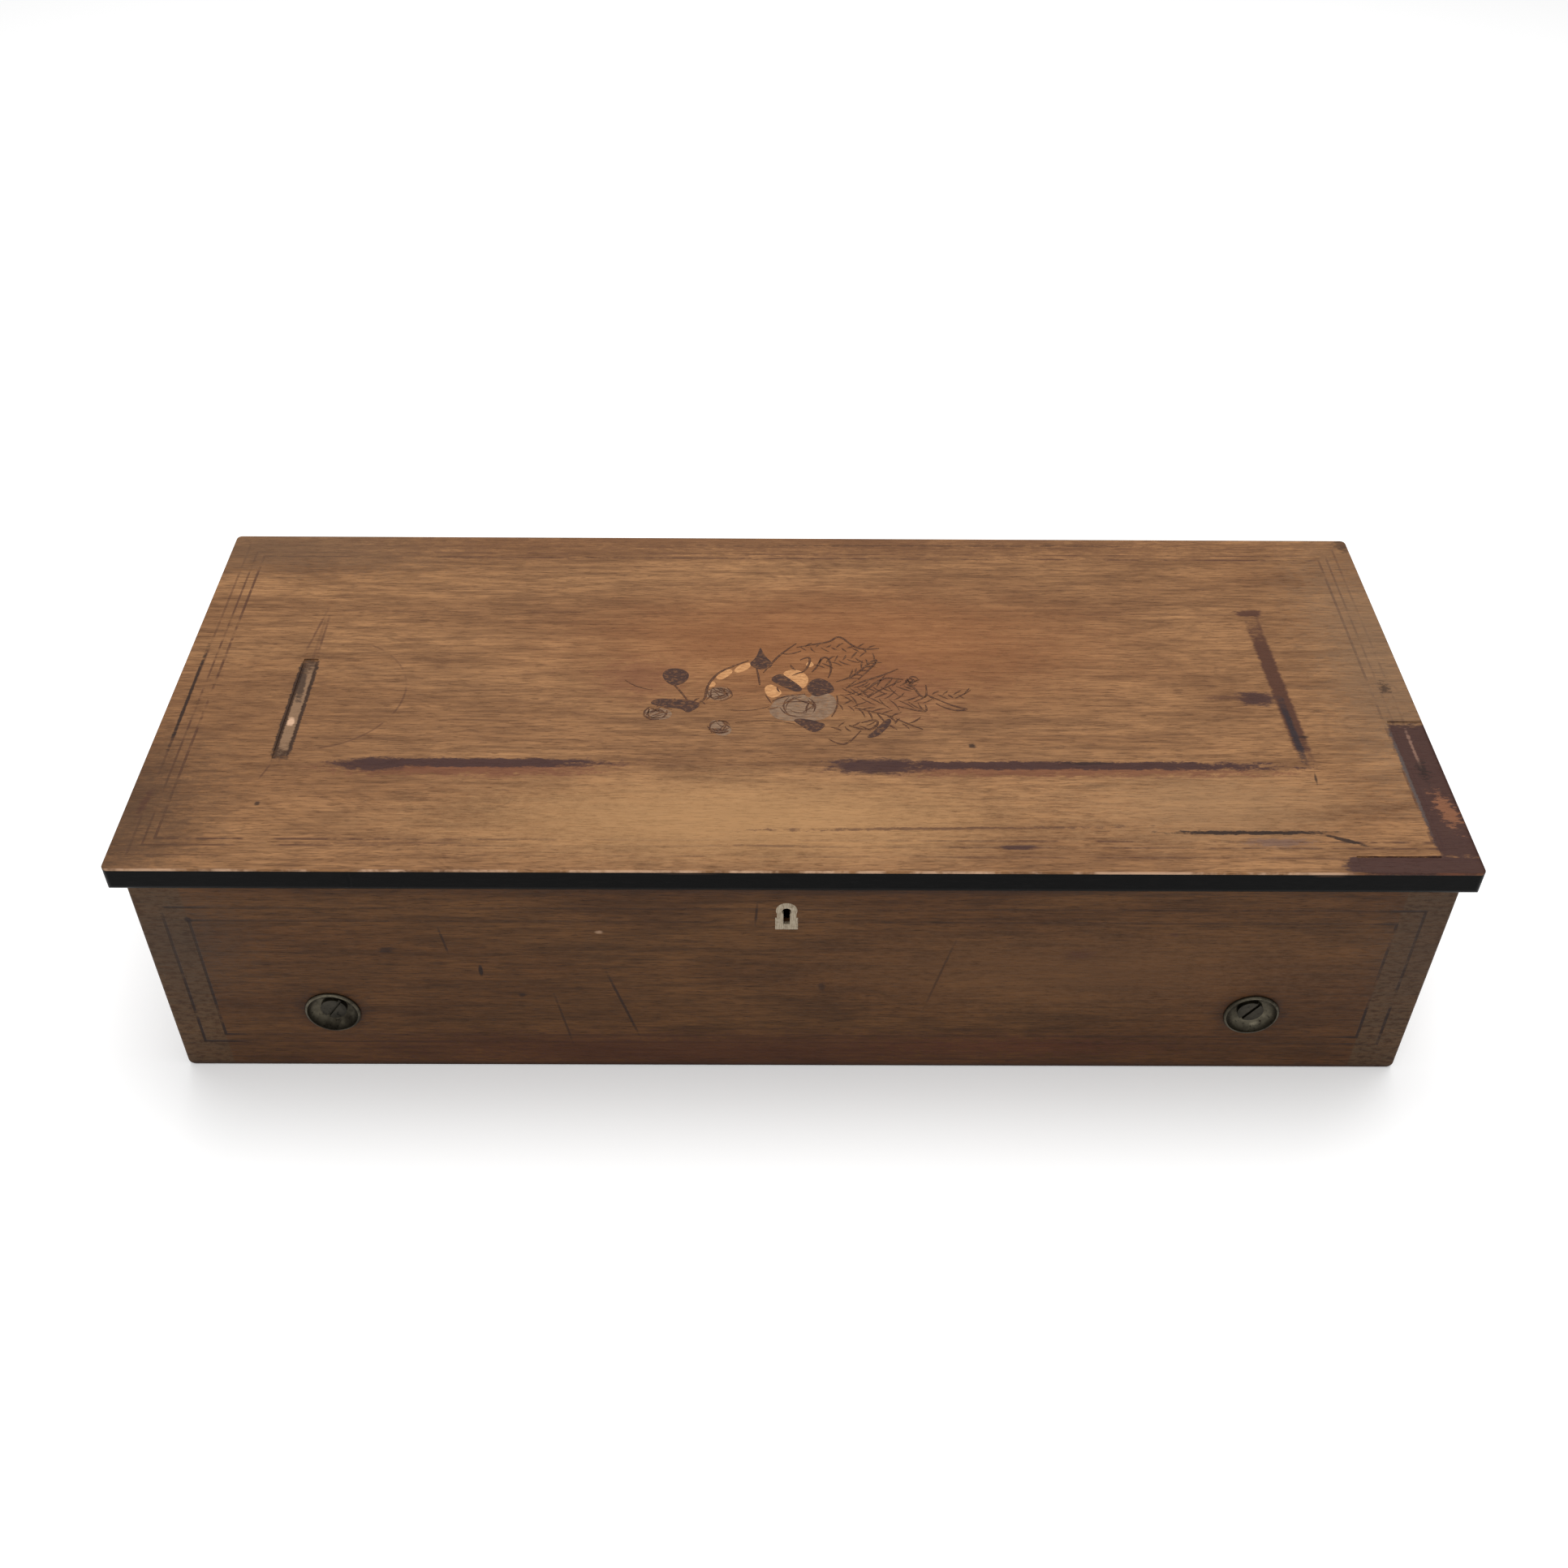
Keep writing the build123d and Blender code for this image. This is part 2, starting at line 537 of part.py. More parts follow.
def hinge_leaf(x, upper):
    """One leaf of a butt hinge; the upper one has the middle knuckle."""
    half = HINGE_LENGTH / 2
    middle = HINGE_LENGTH / 6
    z0 = LID_BOTTOM if upper else CASE_HEIGHT - HINGE_LEAF
    leaf = slab(x - half, x + half, INNER_BACK + 1, HINGE_Y, z0, z0 + HINGE_LEAF)
    clear = HINGE_RADIUS + HINGE_SPARE
    if upper:
        leaf -= rod_x(clear, x - half - 1, x - middle, HINGE_Y, HINGE_Z)
        leaf -= rod_x(clear, x + middle, x + half + 1, HINGE_Y, HINGE_Z)
        leaf += rod_x(HINGE_RADIUS, x - middle, x + middle, HINGE_Y, HINGE_Z)
        leaf -= slab(x - half - 1, x - middle, HINGE_Y - clear, HINGE_Y + 1, z0 - 1, z0 + 5)
        leaf -= slab(x + middle, x + half + 1, HINGE_Y - clear, HINGE_Y + 1, z0 - 1, z0 + 5)
    else:
        inner = middle + KNUCKLE_GAP
        leaf -= slab(x - inner, x + inner, HINGE_Y - clear, HINGE_Y + 1, z0 - 5, z0 + 5)
        leaf += rod_x(HINGE_RADIUS, x - half, x - inner, HINGE_Y, HINGE_Z)
        leaf += rod_x(HINGE_RADIUS, x + inner, x + half, HINGE_Y, HINGE_Z)
    bore = HINGE_PIN_RADIUS + (PIVOT_CLEARANCE if upper else 0)
    leaf -= rod_x(bore, x - half - 1, x + half + 1, HINGE_Y, HINGE_Z)
    return bored(leaf, hinge_screws(x, upper))


def hinge_screws(x, upper):
    spacing = HINGE_LENGTH / 3
    y = INNER_BACK + (WALL - HINGE_RADIUS) / 2 + 0.5
    screws = []
    for step in (-1, 0, 1):
        spot = (x + step * spacing, y)
        if upper:
            place = Pos(*spot, LID_BOTTOM) * Rot(180, 0, 0)
            length = LID_THICKNESS - LID_TOP_LAYER - 1
        else:
            place = Pos(*spot, CASE_HEIGHT)
            length = WALL
        screws.append(flat_screw(place, HINGE_SCREW_RADIUS, HINGE_SCREW_RADIUS / 2, length))
    return screws


def build_case():
    """The boards of the case and what is let into them."""
    half = CASE_LENGTH / 2
    cups, screws = bed_fasteners()
    front = slab(-half, half, FRONT, INNER_FRONT, 0, CASE_HEIGHT)
    front = fillet(front.edges().filter_by(Axis.Y).group_by(Axis.Z)[0], FOOT_ROUND)
    front = fillet(front.edges().filter_by(Axis.Z).group_by(Axis.Y)[0], CORNER_ROUND)
    front -= lock_room(INNER_FRONT - LOCK_DEPTH, INNER_FRONT, CASE_HEIGHT - LOCK_HEIGHT, CASE_HEIGHT, 0)
    front -= escutcheon_blank()
    front -= keyhole(FRONT, INNER_FRONT)
    back = slab(-half, half, INNER_BACK, BACK, 0, CASE_HEIGHT)
    back = fillet(back.edges().filter_by(Axis.Y).group_by(Axis.Z)[0], FOOT_ROUND)
    back = fillet(back.edges().filter_by(Axis.Z).group_by(Axis.Y)[-1], CORNER_ROUND)
    lower_leaves = []
    hinge_fixings = []
    pins = []
    for x in HINGE_X:
        reach = HINGE_LENGTH / 2
        back -= slab(x - reach, x + reach, INNER_BACK + 1, BACK, CASE_HEIGHT - HINGE_LEAF, CASE_HEIGHT)
        back -= hinge_room(x)
        back = bored(back, hinge_screws(x, False))
        lower_leaves.append(hinge_leaf(x, False))
        hinge_fixings += hinge_screws(x, False)
        pins.append(rod_x(HINGE_PIN_RADIUS, x - reach, x + reach, HINGE_Y, HINGE_Z))
    beds = [cup_bed(place) for place in bed_screw_places()]
    front = bored(front, beds[0::2] + screws[0::2])
    back = bored(back, beds[1::2] + screws[1::2])
    nodes = {"front_board": front, "back_board": back, "cup_washers": cups, "bed_screws": screws}
    nodes["escutcheon"] = escutcheon_blank() - keyhole(FRONT, FRONT + ESCUTCHEON_THICKNESS)
    nodes["lock_case"] = lock_case()
    nodes["hinge_lower_leaves"] = lower_leaves
    nodes["hinge_pins"] = pins
    nodes["hinge_case_screws"] = hinge_fixings
    nodes["bottom_board"] = slab(-INNER_END, INNER_END, INNER_FRONT, INNER_BACK, 0, BOTTOM_THICKNESS)
    blocks = []
    for name, side in (("left", -1), ("right", 1)):
        ends = sorted((side * INNER_END, side * half))
        board = slab(*ends, INNER_FRONT, INNER_BACK, 0, CASE_HEIGHT)
        foot = board.edges().filter_by(Axis.Y).group_by(Axis.Z)[0].sort_by(Axis.X)
        nodes[name + "_end_board"] = fillet(foot[-1] if side > 0 else foot[0], FOOT_ROUND)
        faces = sorted((side * PARTITION_IN, side * PARTITION_OUT))
        partition = slab(*faces, INNER_FRONT, INNER_BACK, BOTTOM_THICKNESS, PARTITION_TOP)
        partition -= glass_pivot(side, GLASS_PIN_RADIUS + PIVOT_CLEARANCE)
        if side < 0:
            partition -= rod_x(ARBOR_RADIUS + SHAFT_SPARE, *faces, BARREL_Y, AXIS_Z)
        else:
            for y, z in ((STOP_Y, STOP_Z), (CHANGE_Y, CHANGE_Z)):
                partition -= rod_x(CONTROL_SHAFT_RADIUS + PIVOT_CLEARANCE, *faces, y, z)
        nodes[name + "_partition"] = partition
        seat = sorted((side * PARTITION_IN, side * (PARTITION_IN - BLOCK_SIZE)))
        for low, high in ((INNER_FRONT, INNER_FRONT + BLOCK_SIZE), (INNER_BACK - BLOCK_SIZE, INNER_BACK)):
            blocks.append(slab(*seat, low, high, BOTTOM_THICKNESS, BED_BOTTOM))
    nodes["bearer_blocks"] = blocks
    return nodes


def lid_plan(low):
    """The lid's outline seen from above, as a block from some height up to its top."""
    block = slab(-LID_END, LID_END, LID_FRONT, BACK, low, LID_TOP)
    return fillet(block.edges().filter_by(Axis.Z), LID_CORNER)


def lid_moulding():
    """Three ebonised strips under the lid's veneered layer, rounded below and mitred."""
    top = LID_TOP - LID_TOP_LAYER
    flat = LID_BOTTOM + MOULDING_ROUND

    def profile(edge, inward):
        corner = edge + inward * MOULDING_ROUND
        inner = edge + inward * MOULDING_WIDTH
        bend = MOULDING_ROUND * (1 - math.sqrt(0.5))
        outline = (
            Polyline((corner, LID_BOTTOM), (inner, LID_BOTTOM), (inner, top), (edge, top), (edge, flat))
            + ThreePointArc((edge, flat), (edge + inward * bend, LID_BOTTOM + bend), (corner, LID_BOTTOM))
        )
        return make_face(outline)

    across = Plane((-LID_END, 0, 0), x_dir=(0, 1, 0), z_dir=(1, 0, 0))
    front = extrude(across * profile(LID_FRONT, 1), 2 * LID_END)
    inner_end = LID_END - MOULDING_WIDTH
    inner_front = LID_FRONT + MOULDING_WIDTH
    mitre = [(-LID_END, LID_FRONT), (LID_END, LID_FRONT), (inner_end, inner_front), (-inner_end, inner_front)]
    plan = lid_plan(LID_BOTTOM)
    strips = [front & plate_z(mitre, LID_BOTTOM, LID_THICKNESS) & plan]
    along = Plane((0, LID_FRONT, 0), x_dir=(1, 0, 0), z_dir=(0, -1, 0))
    for side in (-1, 1):
        strip = extrude(along * profile(side * LID_END, -side), -(BACK - LID_FRONT))
        corners = [(side * LID_END, LID_FRONT), (side * inner_end, inner_front)]
        corners += [(side * inner_end, BACK), (side * LID_END, BACK)]
        strips.append(strip & plate_z(corners, LID_BOTTOM, LID_THICKNESS) & plan)
    return strips


def build_lid():
    """The main lid, its moulding, link plate, hinge leaves and tune sheet."""
    split = LID_TOP - LID_TOP_LAYER
    inner = LID_END - MOULDING_WIDTH
    board = lid_plan(split)
    board = fillet(board.edges().group_by(Axis.Z)[-1], LID_EDGE_ROUND)
    board += slab(-inner, inner, LID_FRONT + MOULDING_WIDTH, BACK, LID_BOTTOM, split)
    plate_room = lock_room(INNER_FRONT - LOCK_DEPTH, INNER_FRONT, LID_BOTTOM, LID_BOTTOM + LOCK_PLATE, 0)
    board -= plate_room
    leaves = []
    fixings = []
    for x in HINGE_X:
        reach = HINGE_LENGTH / 2
        board -= slab(x - reach, x + reach, INNER_BACK + 1, BACK, LID_BOTTOM, LID_BOTTOM + HINGE_LEAF)
        board -= hinge_room(x)
        board = bored(board, hinge_screws(x, True))
        leaves.append(hinge_leaf(x, True))
        fixings += hinge_screws(x, True)
    strips = lid_moulding()
    strips[0] -= plate_room
    nodes = {"lid_board": board, "lid_moulding": strips, "lid_link_plate": link_plate()}
    nodes["hinge_upper_leaves"] = leaves
    nodes["hinge_lid_screws"] = fixings
    half = SHEET_LENGTH / 2
    wide = SHEET_WIDTH / 2
    nodes["tune_sheet"] = slab(-half, half, -wide, wide, LID_BOTTOM - SHEET_THICKNESS, LID_BOTTOM)
    return nodes


def glass_pivot(side, radius):
    """A pivot pin of the glazed lid, or with more radius the hole that it turns in."""
    ends = sorted((side * (PARTITION_IN - GLASS_PIN_LENGTH), side * (PARTITION_IN + GLASS_PIN_LENGTH / 2)))
    return rod_x(radius, *ends, GLASS_AXIS_Y, GLASS_Z)


def build_glass_lid():
    """The glazed inner lid and the strips in the case that it lies against."""
    end = PARTITION_IN - GLASS_GAP
    front = INNER_FRONT + GLASS_GAP
    back = GLASS_AXIS_Y + GLASS_FRAME_THICKNESS / 2
    width = GLASS_FRAME_WIDTH
    pane_reach = width / 3
    pane = slab(
        -end + width - pane_reach,
        end - width + pane_reach,
        front + width - pane_reach,
        back - width + pane_reach,
        GLASS_Z - GLASS_THICKNESS / 2,
        GLASS_Z + GLASS_THICKNESS / 2,
    )
    pins = [glass_pivot(side, GLASS_PIN_RADIUS) for side in (-1, 1)]
    rails = [slab(-end, end, front, front + width, GLASS_BOTTOM, GLASS_TOP)]
    back_rail = slab(-end, end, back - width, GLASS_AXIS_Y, GLASS_BOTTOM, GLASS_TOP)
    rails.append(back_rail + rod_x(GLASS_FRAME_THICKNESS / 2, -end, end, GLASS_AXIS_Y, GLASS_Z))
    for side in (-1, 1):
        sides = sorted((side * (end - width), side * end))
        rails.append(slab(*sides, front + width, back - width, GLASS_BOTTOM, GLASS_TOP))
    frame = [bored(rail, [pane] + pins) for rail in rails]
    knob_height = LID_BOTTOM - GLASS_TOP - KNOB_SPARE
    outline = (
        Line((0, 0), (GLASS_KNOB_RADIUS * 0.6, 0))
        + ThreePointArc(
            (GLASS_KNOB_RADIUS * 0.6, 0),
            (GLASS_KNOB_RADIUS * 0.95, knob_height * 0.5),
            (GLASS_KNOB_RADIUS * 0.5, knob_height),
        )
        + Line((GLASS_KNOB_RADIUS * 0.5, knob_height), (0, knob_height))
        + Line((0, knob_height), (0, 0))
    )
    knob = Pos(0, front + width / 2, GLASS_TOP) * revolve(Plane.XZ * make_face(outline), Axis.Z)
    nodes = {"glass_frame": frame, "glass_pane": pane, "glass_pivots": pins, "glass_knob": knob}
    ledge_top = GLASS_BOTTOM - GLASS_REST
    ledge = (INNER_FRONT, INNER_FRONT + GLASS_LEDGE, ledge_top - GLASS_LEDGE, ledge_top)
    nodes["glass_ledge"] = slab(-PARTITION_IN, PARTITION_IN, *ledge)
    rail = (INNER_BACK - GLASS_RAIL_WIDTH, INNER_BACK, GLASS_BOTTOM - GLASS_LEDGE, GLASS_TOP)
    nodes["glass_rail"] = slab(-PARTITION_IN, PARTITION_IN, *rail)
    return nodes


def bridge(x0, outline, bearings, foot):
    """An upright brass plate with a foot along the bed, bored for its arbors."""
    plate = plate_x(outline, x0, BRIDGE_THICKNESS)
    low = min(y for y, z in outline)
    high = max(y for y, z in outline if z <= BED_TOP)
    ends = (x0 - BRIDGE_FOOT, x0) if foot < 0 else (x0 + BRIDGE_THICKNESS, x0 + BRIDGE_THICKNESS + BRIDGE_FOOT)
    plate += slab(*ends, low, high, BED_TOP, BED_TOP + FOOT_THICKNESS)
    for y, z, radius in bearings:
        plate -= rod_x(radius + PIVOT_CLEARANCE, x0 - 1, x0 + BRIDGE_THICKNESS + 1, y, z)
    middle = (ends[0] + ends[1]) / 2
    fixings = [foot_screw(middle, y) for y in (low + BRIDGE_FOOT / 3, high - BRIDGE_FOOT / 3)]
    return bored(plate, fixings), fixings


def foot_screw(x, y, seat=None):
    top = BED_TOP + FOOT_THICKNESS if seat is None else seat
    length = top - BED_TOP + BED_FLOOR
    return screw(Pos(x, y, top), FIXING_HEAD, FIXING_RADIUS, length, FIXING_HEAD_HEIGHT)


def arch(y, spread=BRIDGE_SPREAD, head=BRIDGE_HEAD):
    """Outline of a bridge that narrows from its foot to a bearing at height of the arbor."""
    shoulder = AXIS_Z + head * 0.5
    top = AXIS_Z + head
    return [
        (y - spread, BED_TOP),
        (y + spread, BED_TOP),
        (y + spread, BED_TOP + FOOT_THICKNESS),
        (y + head, shoulder),
        (y + head * 0.5, top),
        (y - head * 0.5, top),
        (y - head, shoulder),
        (y - spread, BED_TOP + FOOT_THICKNESS),
    ]


def build_bed():
    """The bedplate, its bridges and the screws that hold them."""
    bed = slab(-BED_END, BED_END, INNER_FRONT + BED_SIDE_GAP, INNER_BACK - BED_SIDE_GAP, BED_BOTTOM, BED_TOP)
    side = INNER_BACK - BED_SIDE_GAP - BED_RIB
    pocket = (2 * BED_END - (BED_POCKETS + 1) * BED_RIB) / BED_POCKETS
    for step in range(BED_POCKETS):
        x0 = -BED_END + BED_RIB + step * (pocket + BED_RIB)
        bed -= slab(x0, x0 + pocket, -side, side, BED_BOTTOM, BED_TOP - BED_FLOOR)
    left, left_fixings = bridge(LEFT_BRIDGE_X, arch(BARREL_Y), [(BARREL_Y, AXIS_Z, ARBOR_RADIUS)], 1)
    twin = arch(CYLINDER_Y)[:1] + arch(BARREL_Y)[1:5] + arch(CYLINDER_Y)[5:]
    bearings = [(CYLINDER_Y, AXIS_Z, ARBOR_RADIUS), (BARREL_Y, AXIS_Z, ARBOR_RADIUS)]
    middle, middle_fixings = bridge(MIDDLE_BRIDGE_X, twin, bearings, 1)
    ear = BRIDGE_HEAD * 0.6
    right_arch = arch(CYLINDER_Y)
    tall = right_arch[:4]
    tall += [(CHANGE_Y, CHANGE_Z - ear), (CHANGE_Y + ear, CHANGE_Z), (CHANGE_Y, CHANGE_Z + ear)]
    tall += right_arch[5:]
    bearings = [(CYLINDER_Y, AXIS_Z, ARBOR_RADIUS), (CHANGE_Y, CHANGE_Z, CONTROL_SHAFT_RADIUS)]
    right, right_fixings = bridge(RIGHT_BRIDGE_X, tall, bearings, -1)
    fixings = left_fixings + middle_fixings + right_fixings
    nodes = {"left_bridge": left, "middle_bridge": middle, "right_bridge": right}
    nodes["movement_screws"] = fixings + cock_screws() + governor_screws()
    bed_screws = bed_fasteners()[1]
    base, comb, comb_screws, leads = build_comb()
    nodes["bedplate"] = bored(bed, fixings + bed_screws + governor_screws())
    nodes["comb_base"] = base
    nodes["comb"] = comb
    nodes["comb_screws"] = comb_screws
    nodes["comb_leads"] = leads
    return nodes


def build_comb():
    """The steel comb, with teeth that shorten to the treble end, and the base it is screwed to."""
    pitch = (COMB_RIGHT - COMB_LEFT) / COMB_TEETH
    outline = [(COMB_LEFT, COMB_BACK_Y)]
    for tooth in range(COMB_TEETH):
        share = tooth / (COMB_TEETH - 1)
        root = COMB_TIP_Y - COMB_TOOTH_BASS + (COMB_TOOTH_BASS - COMB_TOOTH_TREBLE) * share
        x0 = COMB_LEFT + tooth * pitch + COMB_SLIT / 2
        x1 = x0 + pitch - COMB_SLIT
        outline += [(x0, root), (x0, COMB_TIP_Y), (x1, COMB_TIP_Y), (x1, root)]
    outline.append((COMB_RIGHT, COMB_BACK_Y))
    comb = plate_z(outline, COMB_Z, COMB_THICKNESS)
    back = COMB_BACK_Y
    lip = COMB_BASE_WIDTH / 3
    profile = [
        (back - lip, BED_TOP),
        (back + COMB_BASE_WIDTH + lip, BED_TOP),
        (back + COMB_BASE_WIDTH + lip, BED_TOP + FOOT_THICKNESS),
        (back + COMB_BASE_WIDTH, BED_TOP + 2 * FOOT_THICKNESS),
        (back + COMB_BASE_WIDTH, COMB_Z),
        (back, COMB_Z),
        (back, BED_TOP + FOOT_THICKNESS),
        (back - lip, BED_TOP + FOOT_THICKNESS),
    ]
    base = plate_x(profile, COMB_LEFT, COMB_RIGHT - COMB_LEFT)
    screws = []
    spacing = (COMB_RIGHT - COMB_LEFT) / COMB_SCREWS
    for step in range(COMB_SCREWS):
        spot = Pos(COMB_LEFT + spacing * (step + 0.5), back + COMB_BASE_WIDTH / 2, COMB_Z + COMB_THICKNESS)
        screws.append(screw(spot, COMB_SCREW_RADIUS, COMB_SCREW_RADIUS / 2, COMB_BASE_WIDTH))
    leads = []
    for tooth in range(COMB_LEADS):
        share = 1 - tooth / COMB_LEADS
        x0 = COMB_LEFT + tooth * pitch + COMB_SLIT
        y1 = COMB_TIP_Y - LEAD_SETBACK
        y0 = y1 - COMB_LEAD_HEIGHT * (0.4 + 0.6 * share)
        low = COMB_Z - COMB_LEAD_HEIGHT * (0.3 + 0.7 * share)
        leads.append(slab(x0, x0 + pitch - 2 * COMB_SLIT, y0, y1, low, COMB_Z))
    return bored(base, screws), bored(comb, screws), screws, leads


def build_barrel():
    """The spring barrel with its toothed rim, its cap, mainspring and winding arbor."""
    drum = rod_x(BARREL_RADIUS, DRUM_X, BARREL_WHEEL_X, BARREL_Y, AXIS_Z)
    wheel_turn = math.pi + math.pi / BARREL_TEETH
    drum += gear(BARREL_TEETH, BARREL_WHEEL_X, WHEEL_THICKNESS, BARREL_Y, AXIS_Z, 0, turn=wheel_turn)
    inside = BARREL_RADIUS - BARREL_WALL
    drum -= rod_x(inside, DRUM_X, BARREL_WHEEL_X, BARREL_Y, AXIS_Z)
    bore = ARBOR_RADIUS + PIVOT_CLEARANCE
    drum -= rod_x(bore, BARREL_WHEEL_X, BARREL_WHEEL_X + WHEEL_THICKNESS, BARREL_Y, AXIS_Z)
    cap = rod_x(inside, DRUM_X, DRUM_X + BARREL_WALL, BARREL_Y, AXIS_Z)
    cap -= rod_x(bore, DRUM_X, DRUM_X + BARREL_WALL, BARREL_Y, AXIS_Z)
    core = ARBOR_RADIUS + SPRING_ROOM
    step = (inside - core - SPRING_THICKNESS - SPRING_SPARE) / SPRING_TURNS
    inner = spiral(core, step, 0)
    outer = spiral(core, step, SPRING_THICKNESS)
    joined = inner + outer
    joined += [Line((core, 0), (core + SPRING_THICKNESS, 0))]
    end = core + step * SPRING_TURNS
    joined += [Line((end, 0), (end + SPRING_THICKNESS, 0))]
    face = make_face(Curve() + joined)
    x0 = DRUM_X + BARREL_WALL + SPRING_SPARE
    spring = extrude(
        Plane((x0, BARREL_Y, AXIS_Z), x_dir=(0, 1, 0), z_dir=(1, 0, 0)) * face,
        BARREL_WHEEL_X - x0 - SPRING_SPARE,
    )
    arbor_end = MIDDLE_BRIDGE_X + BRIDGE_THICKNESS
    arbor = rod_x(ARBOR_RADIUS, RATCHET_X - LEVER_THICKNESS - 3, arbor_end, BARREL_Y, AXIS_Z)
    return {"barrel": drum, "barrel_cap": cap, "mainspring": spring, "winding_arbor": arbor}


def spiral(start, step, offset):
    """Half turns of a spiral whose radius grows by step in each turn."""
    arcs = []
    for half in range(2 * SPRING_TURNS):
        sign = 1 if half % 2 == 0 else -1
        r0 = start + offset + step * half / 2
        r1 = r0 + step / 2
        middle = (sign * (r0 - r1) / 2, sign * (r0 + r1) / 2)
        arcs.append(ThreePointArc((sign * r0, 0), middle, (-sign * r1, 0)))
    return arcs


def ratchet_outline():
    outline = []
    for tooth in range(RATCHET_TEETH):
        angle = 2 * math.pi * tooth / RATCHET_TEETH
        inner = RATCHET_RADIUS * 0.88
        outline.append((RATCHET_RADIUS * math.cos(angle), RATCHET_RADIUS * math.sin(angle)))
        outline.append((inner * math.cos(angle), inner * math.sin(angle)))
    return outline


def build_winding():
    """The winding lever with its click and handle, and the ratchet wheel on the arbor."""
    wheel = plate_x(ratchet_outline(), RATCHET_X, WHEEL_THICKNESS, BARREL_Y, AXIS_Z)
    wheel -= rod_x(ARBOR_RADIUS, RATCHET_X, RATCHET_X + WHEEL_THICKNESS, BARREL_Y, AXIS_Z)
    x1 = RATCHET_X - LEVER_SIDE_GAP
    x0 = x1 - LEVER_THICKNESS
    half = LEVER_WIDTH / 2
    neck = LEVER_LENGTH - GRIP_LENGTH
    arm = rod_x(half + 2, x0, x1, 0, 0) + slab(x0, x1, -neck, 0, -half, half)
    click_y = -RATCHET_RADIUS - CLICK_RADIUS - 1
    arm += rod_x(half + 1, x0, x1, click_y, 0)
    arm -= rod_x(ARBOR_RADIUS + PIVOT_CLEARANCE, x0, x1, 0, 0)
    tang = rod_y(GRIP_TANG, (x0 + x1) / 2, -LEVER_LENGTH + 3, -neck, 0)
    arm += tang
    click = rod_x(CLICK_RADIUS, x1, RATCHET_X + WHEEL_THICKNESS, click_y, 0)
    click += slab(x1 + LEVER_SIDE_GAP, RATCHET_X + WHEEL_THICKNESS, click_y, click_y + CLICK_RADIUS + 0.6, -1, 1)
    grip_outline = (
        Line((0, 0), (GRIP_RADIUS * 0.6, 0))
        + ThreePointArc(
            (GRIP_RADIUS * 0.6, 0), (GRIP_RADIUS, GRIP_LENGTH * 0.6), (GRIP_RADIUS * 0.7, GRIP_LENGTH)
        )
        + Line((GRIP_RADIUS * 0.7, GRIP_LENGTH), (0, GRIP_LENGTH))
        + Line((0, GRIP_LENGTH), (0, 0))
    )
    grip = revolve(Plane.XZ * make_face(grip_outline), Axis.Z)
    grip = Pos((x0 + x1) / 2, -neck, 0) * Rot(90, 0, 0) * grip
    grip -= tang
    place = Pos(0, BARREL_Y, AXIS_Z) * Rot(-LEVER_REST, 0, 0)
    nodes = {"ratchet_wheel": wheel, "winding_lever": place * arm}
    nodes["winding_click"] = place * click
    nodes["winding_grip"] = place * grip
    return nodes


